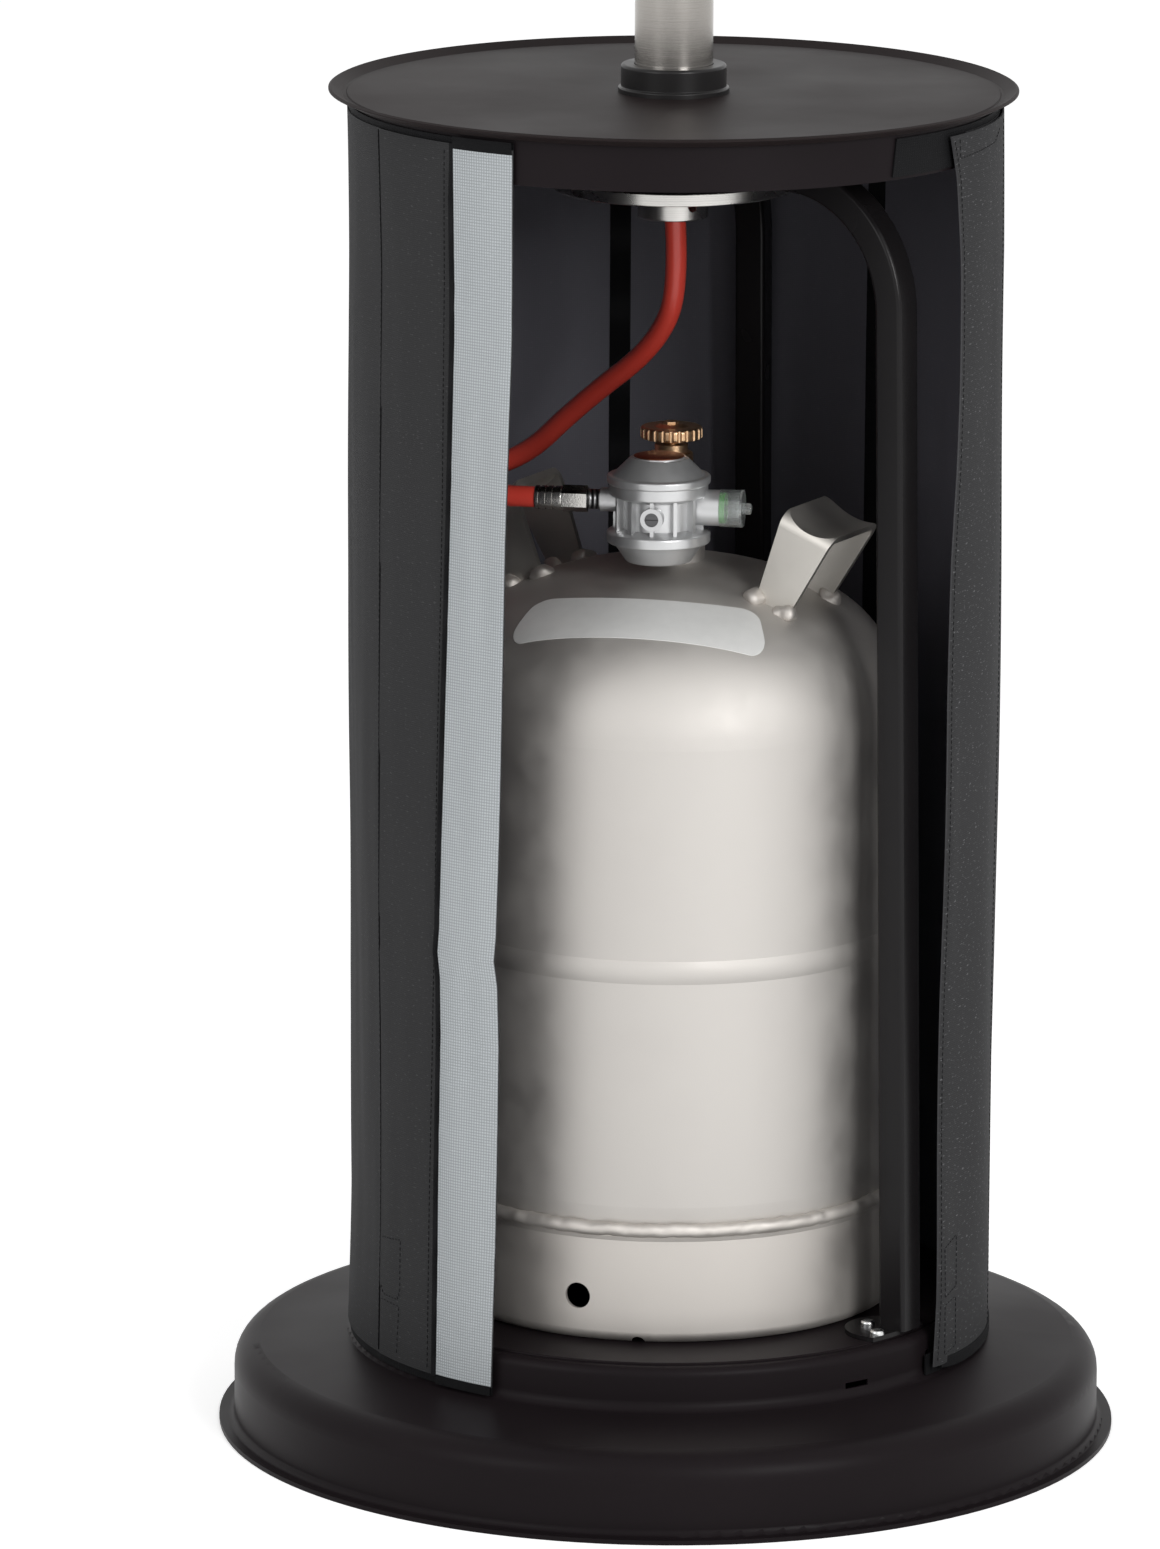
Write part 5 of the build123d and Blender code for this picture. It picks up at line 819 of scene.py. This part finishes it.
weld_lumps = []
for handle_azimuth in HANDLE_AZIMUTHS:
    for side in (-1, 1):
        for out in FOOT_CORNERS:
            tangent = side * FOOT_HALF_WIDTH
            angle = math.radians(handle_azimuth)
            x = out * math.sin(angle) + tangent * math.cos(angle)
            y = -out * math.cos(angle) + tangent * math.sin(angle)
            bpy.ops.object.select_all(action="DESELECT")
            bpy.ops.mesh.primitive_ico_sphere_add(subdivisions=4, radius=0.0078)
            lump_piece = bpy.context.object
            for vertex in lump_piece.data.vertices:
                swell = 1 + 0.4 * noise.noise(vertex.co * 115 + Vector((x * 50, y * 50, 0)))
                vertex.co = Vector((vertex.co.x * swell, vertex.co.y * swell, vertex.co.z * 0.85 * swell))
                vertex.co += Vector((x, y, shoulder_height(math.hypot(x, y)) + 0.0004))
            weld_lumps.append(lump_piece)
handle_welds = join_pieces(weld_lumps)
handle_welds.name = "handle_welds"
handle_welds.data.name = "handle_welds"
bpy.ops.object.shade_smooth()
handle_welds.data.materials.append(ring_skin)
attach(handle_welds, "frame")

# The label: a curved band of white polyethylene film on the shoulder, left bare.
# Film is smooth and semi-gloss, with a faint print-coat unevenness.
label_film = blank_material("polyethylene_film_white")
place = add_node(label_film, "TexCoord")
wave = add_node(
    label_film, "TexNoise", {"Vector": place.outputs["Object"], "Scale": 120.0, "Detail": 2.0}
)
tint = add_node(
    label_film,
    "Mix",
    {0: wave.outputs["Fac"], 6: linear("#cfcfcd"), 7: linear("#dadad8")},
    data_type="RGBA",
)
relief = add_node(
    label_film, "Bump", {"Height": wave.outputs["Fac"], "Strength": 0.1, "Distance": 0.0002}
)
shader = add_node(label_film, "BsdfPrincipled", {
    "Base Color": tint.outputs[2],
    "Roughness": 0.36,
    "Normal": relief.outputs[0],
})
add_node(label_film, "OutputMaterial", {"Surface": shader.outputs[0]})
dress(label_film, "bottle_label")


# The valve and its handwheel: hot-pressed brass, the wheel lacquered golden and fluted round its rim.
# The regulator and its cap: pressure-cast zinc, tumbled to a silvery satin.
def cast_metal(name, dark, light, low_gloss, high_gloss, grain, bare=1.0):
    """Pressed or cast metal; grain is in metres, and bare is the share that shows as clean metal."""
    metal = blank_material(name)
    place = add_node(metal, "TexCoord")
    skin = add_node(
        metal, "TexNoise", {"Vector": place.outputs["Object"], "Scale": 1.0 / grain, "Detail": 3.0}
    )
    stain = add_node(metal, "TexNoise", {"Vector": place.outputs["Object"], "Scale": 60.0, "Detail": 4.0})
    tint = add_node(
        metal, "Mix", {0: stain.outputs["Fac"], 6: linear(dark), 7: linear(light)}, data_type="RGBA"
    )
    gloss = add_node(metal, "MapRange", {
        0: stain.outputs["Fac"],
        1: 0.3,
        2: 0.7,
        3: low_gloss,
        4: high_gloss,
    })
    relief = add_node(
        metal, "Bump", {"Height": skin.outputs["Fac"], "Strength": 0.3, "Distance": grain / 8}
    )
    shader = add_node(metal, "BsdfPrincipled", {
        "Base Color": tint.outputs[2],
        "Metallic": bare,
        "Roughness": gloss.outputs[0],
        "Normal": relief.outputs[0],
    })
    add_node(metal, "OutputMaterial", {"Surface": shader.outputs[0]})
    return metal


pressed_brass = cast_metal("pressed_brass", "#c9a27c", "#e2c19c", 0.28, 0.4, 0.0009)
cast_zinc = cast_metal("pressure_cast_zinc", "#b6b7b8", "#cacaca", 0.3, 0.42, 0.0007, 0.72)
nickel_plate = cast_metal("nickel_plated_steel", "#b9b7b3", "#d2d0cc", 0.16, 0.26, 0.0012)
dress(pressed_brass, "valve_body", "valve_spindle", "valve_handwheel", "handwheel_nut")
dress(pressed_brass, "union_nut", "gas_valve")
dress(cast_zinc, "regulator_body", "regulator_cap")
dress(nickel_plate, "hose_nut", "hose_ferrule")

# The outlet's nipple: blackened steel with a turned thread, between the regulator and the hose.
# The thread is drawn as rings across its run, 3 mm apart, coarser than a real one so that they show. Its
# grooves are painted dark and its crests light: painted shade and painted highlight of the thread.
threaded_steel = blank_material("blackened_threaded_steel")
place = add_node(threaded_steel, "TexCoord")
turns = add_node(
    threaded_steel,
    "TexWave",
    {"Vector": place.outputs["Object"], "Scale": 106.0},
    bands_direction="X",
)
# Painted shade and painted highlight: the thread's wave darkens its grooves to #2a2a2b and lightens its
# crests to #8f8f90.
tint = add_node(
    threaded_steel,
    "Mix",
    {0: turns.outputs["Fac"], 6: linear("#2a2a2b"), 7: linear("#8f8f90")},
    data_type="RGBA",
)
relief = add_node(
    threaded_steel, "Bump", {"Height": turns.outputs["Fac"], "Strength": 0.8, "Distance": 0.0006}
)
shader = add_node(threaded_steel, "BsdfPrincipled", {
    "Base Color": tint.outputs[2],
    "Metallic": 1.0,
    "Roughness": 0.35,
    "Normal": relief.outputs[0],
})
add_node(threaded_steel, "OutputMaterial", {"Surface": shader.outputs[0]})
dress(threaded_steel, "outlet_nipple")

# The cap's disc: a thin anodised plate, plain brown-red, with fine rings from its punching.
# It lies flat on the middle of the regulator's cap.
CAP_DISC_PLACE = (-0.007956, -0.051995, 0.64802)
disc_tone = turned_steel("anodised_disc_brown", "#7b4a35", "#94604a", 0.0012, 0.4, 0.5)
bpy.ops.object.select_all(action="DESELECT")
bpy.ops.mesh.primitive_cylinder_add(vertices=64, radius=0.0160, depth=0.0004)
cap_disc = bpy.context.object
cap_disc.name = "cap_disc"
cap_disc.data.name = "cap_disc"
edge_round = cap_disc.modifiers.new("edge_round", "BEVEL")
edge_round.width = 0.00015
edge_round.segments = 2
bpy.ops.object.modifier_apply(modifier="edge_round")
cap_disc.data.transform(Matrix.Translation(CAP_DISC_PLACE))
bpy.ops.object.shade_smooth_by_angle(angle=math.radians(30))
cap_disc.data.materials.append(disc_tone)
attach(cap_disc, "frame")


# The sight glass: clear polycarbonate cap and button over a green ABS ring.
# Moulded polycarbonate is glass-clear with polished faces and a faint grey cast.
clear_cap = blank_material("polycarbonate_clear")
place = add_node(clear_cap, "TexCoord")
flow = add_node(clear_cap, "TexNoise", {"Vector": place.outputs["Object"], "Scale": 200.0, "Detail": 1.0})
relief = add_node(clear_cap, "Bump", {"Height": flow.outputs["Fac"], "Strength": 0.1, "Distance": 0.0002})
shader = add_node(clear_cap, "BsdfPrincipled", {
    "Base Color": linear("#eef2f1"),
    "Roughness": 0.06,
    "IOR": 1.585,
    "Transmission Weight": 0.92,
    "Normal": relief.outputs[0],
})
add_node(clear_cap, "OutputMaterial", {"Surface": shader.outputs[0]})
dress(clear_cap, "sight_cap", "reset_button")

green_ring = blank_material("moulded_abs_green")
place = add_node(green_ring, "TexCoord")
mark = add_node(
    green_ring, "TexNoise", {"Vector": place.outputs["Object"], "Scale": 400.0, "Detail": 1.0}
)
tint = add_node(
    green_ring,
    "Mix",
    {0: mark.outputs["Fac"], 6: linear("#3f9a34"), 7: linear("#58b548")},
    data_type="RGBA",
)
shader = add_node(green_ring, "BsdfPrincipled", {"Base Color": tint.outputs[2], "Roughness": 0.3})
add_node(green_ring, "OutputMaterial", {"Surface": shader.outputs[0]})
dress(green_ring, "indicator_ring")

# The burner head: housing and floor plate, both spun from stainless sheet.
# Spinning leaves faint rings, 1 mm apart, on a satin metal.
housing_steel = turned_steel("spun_stainless_housing", "#a09d98", "#c4c1bb", 0.0010, 0.26, 0.36)
dress(housing_steel, "burner_housing", "burner_floor")

# The emitter: a round screen of stainless sheet, punched all over with 3 mm holes on a 5 mm grid.
# Heat has browned it in patches, and the holes are painted near-black: painted shade of the dark burner
# behind them.
HOLES_ROUND = 106
HOLES_A_METRE = 200.0
screen_steel = blank_material("punched_stainless_screen")
place = add_node(screen_steel, "TexCoord")
axes = add_node(screen_steel, "SeparateXYZ", {0: place.outputs["Object"]})
bearing = add_node(screen_steel, "Math", {0: axes.outputs[1], 1: axes.outputs[0]}, operation="ARCTAN2")
around = {0: bearing.outputs[0], 1: HOLES_ROUND / (2 * math.pi)}
column = add_node(screen_steel, "Math", around, operation="MULTIPLY")
row = add_node(screen_steel, "Math", {0: axes.outputs[2], 1: HOLES_A_METRE}, operation="MULTIPLY")
across = add_node(screen_steel, "Math", {0: column.outputs[0]}, operation="FRACT")
up = add_node(screen_steel, "Math", {0: row.outputs[0]}, operation="FRACT")
spot = add_node(screen_steel, "CombineXYZ", {0: across.outputs[0], 1: up.outputs[0], 2: 0.0})
middle = {0: spot.outputs[0], 1: (0.5, 0.5, 0.0)}
from_middle = add_node(screen_steel, "VectorMath", middle, operation="DISTANCE")
punched = add_node(screen_steel, "MapRange", {
    0: from_middle.outputs["Value"],
    1: 0.28,
    2: 0.34,
    3: 1.0,
    4: 0.0,
})
heat = add_node(
    screen_steel, "TexNoise", {"Vector": place.outputs["Object"], "Scale": 9.0, "Detail": 4.0}
)
tint = add_node(
    screen_steel,
    "Mix",
    {0: heat.outputs["Fac"], 6: linear("#8d8072"), 7: linear("#b0aaa2")},
    data_type="RGBA",
)
# Painted shade: inside the holes the colour is mixed to near-black #14110f.
colour = add_node(
    screen_steel,
    "Mix",
    {0: punched.outputs[0], 6: tint.outputs[2], 7: linear("#14110f")},
    data_type="RGBA",
)
solid = add_node(screen_steel, "Math", {0: 1.0, 1: punched.outputs[0]}, operation="SUBTRACT")
relief = add_node(screen_steel, "Bump", {"Height": solid.outputs[0], "Strength": 0.6, "Distance": 0.0006})
shader = add_node(screen_steel, "BsdfPrincipled", {
    "Base Color": colour.outputs[2],
    "Metallic": solid.outputs[0],
    "Roughness": 0.42,
    "Normal": relief.outputs[0],
})
add_node(screen_steel, "OutputMaterial", {"Surface": shader.outputs[0]})
dress(screen_steel, "emitter_screen")

# The hood: one sheet of spun aluminium, bright, with spinning rings 2 mm apart.
# It stands on studs over the emitter, under wing nuts.
hood_skin = turned_steel("spun_aluminium_hood", "#c2c2c2", "#dadada", 0.0020, 0.24, 0.34)
dress(hood_skin, "hood")


# The floor and the light: a pale floor, a white surround and soft lamps on both sides of the camera.
# Floor and surround look white to the eye, in reflections and through glass. The floor keeps its shadow.
def seen_rays(material):
    """One for rays from the camera, a reflection or glass, and nought for the others."""
    rays = add_node(material, "LightPath")
    looks = {0: rays.outputs["Is Camera Ray"], 1: rays.outputs["Is Glossy Ray"]}
    by_eye = add_node(material, "Math", looks, operation="MAXIMUM")
    through = {0: by_eye.outputs[0], 1: rays.outputs["Is Transmission Ray"]}
    return add_node(material, "Math", through, operation="MAXIMUM")


bpy.ops.object.select_all(action="DESELECT")
bpy.ops.mesh.primitive_plane_add(size=40)
floor = bpy.context.object
floor.name = "studio_floor"
floor_paint = blank_material("studio_floor_pale")
place = add_node(floor_paint, "TexCoord")
tone = add_node(floor_paint, "TexNoise", {"Vector": place.outputs["Object"], "Scale": 2.0})
tint = add_node(
    floor_paint,
    "Mix",
    {0: tone.outputs["Fac"], 6: linear("#f6f6f6"), 7: linear("#f7f7f7")},
    data_type="RGBA",
)
matt = {"Base Color": tint.outputs[2], "Roughness": 0.9, "Specular IOR Level": 0.0}
shader = add_node(floor_paint, "BsdfPrincipled", matt)
looked_at = seen_rays(floor_paint)
# Under the base the floor's white glow is left out: painted shade where the plinth's holes look down on it.
reach = add_node(floor_paint, "VectorMath", {0: place.outputs["Object"]}, operation="LENGTH")
glow_outside_painted_shade = add_node(floor_paint, "MapRange", {
    0: reach.outputs["Value"],
    1: 0.284,
    2: 0.294,
    3: 0.0,
    4: 0.52,
})
lift = add_node(
    floor_paint,
    "Math",
    {0: looked_at.outputs[0], 1: glow_outside_painted_shade.outputs[0]},
    operation="MULTIPLY",
)
glow = add_node(floor_paint, "Emission", {"Color": linear("#ffffff"), "Strength": lift.outputs[0]})
both = add_node(floor_paint, "AddShader", {0: shader.outputs[0], 1: glow.outputs[0]})
add_node(floor_paint, "OutputMaterial", {"Surface": both.outputs[0]})
floor.data.materials.append(floor_paint)

# The surround is white to the eye, and lights the object at a little over half of that.
SURROUND_LIGHT = 0.55
world = bpy.data.worlds.new("studio_surround")
bpy.context.scene.world = world
world.use_nodes = True
world.node_tree.nodes.clear()
looked_at = seen_rays(world)
strength = add_node(world, "MapRange", {0: looked_at.outputs[0], 3: SURROUND_LIGHT, 4: 1.0})
sky = add_node(world, "Background", {"Color": linear("#ffffff"), "Strength": strength.outputs[0]})
add_node(world, "OutputWorld", {"Surface": sky.outputs[0]})


def add_lamp(name, place, aim, size, power):
    """Square soft lamp that looks at a point."""
    light = bpy.data.lights.new(name, "AREA")
    light.size = size
    light.energy = power
    lamp = bpy.data.objects.new(name, light)
    bpy.context.scene.collection.objects.link(lamp)
    lamp.location = place
    lamp.rotation_mode = "QUATERNION"
    lamp.rotation_quaternion = (Vector(place) - Vector(aim)).to_track_quat("Z", "Y")


add_lamp("key_lamp", (2.0, -3.4, 2.1), (0, 0, 0.6), 1.4, 84)
add_lamp("fill_lamp", (-2.6, -2.6, 1.9), (0, 0, 0.6), 1.8, 28)

bpy.context.scene.view_settings.view_transform = "Standard"
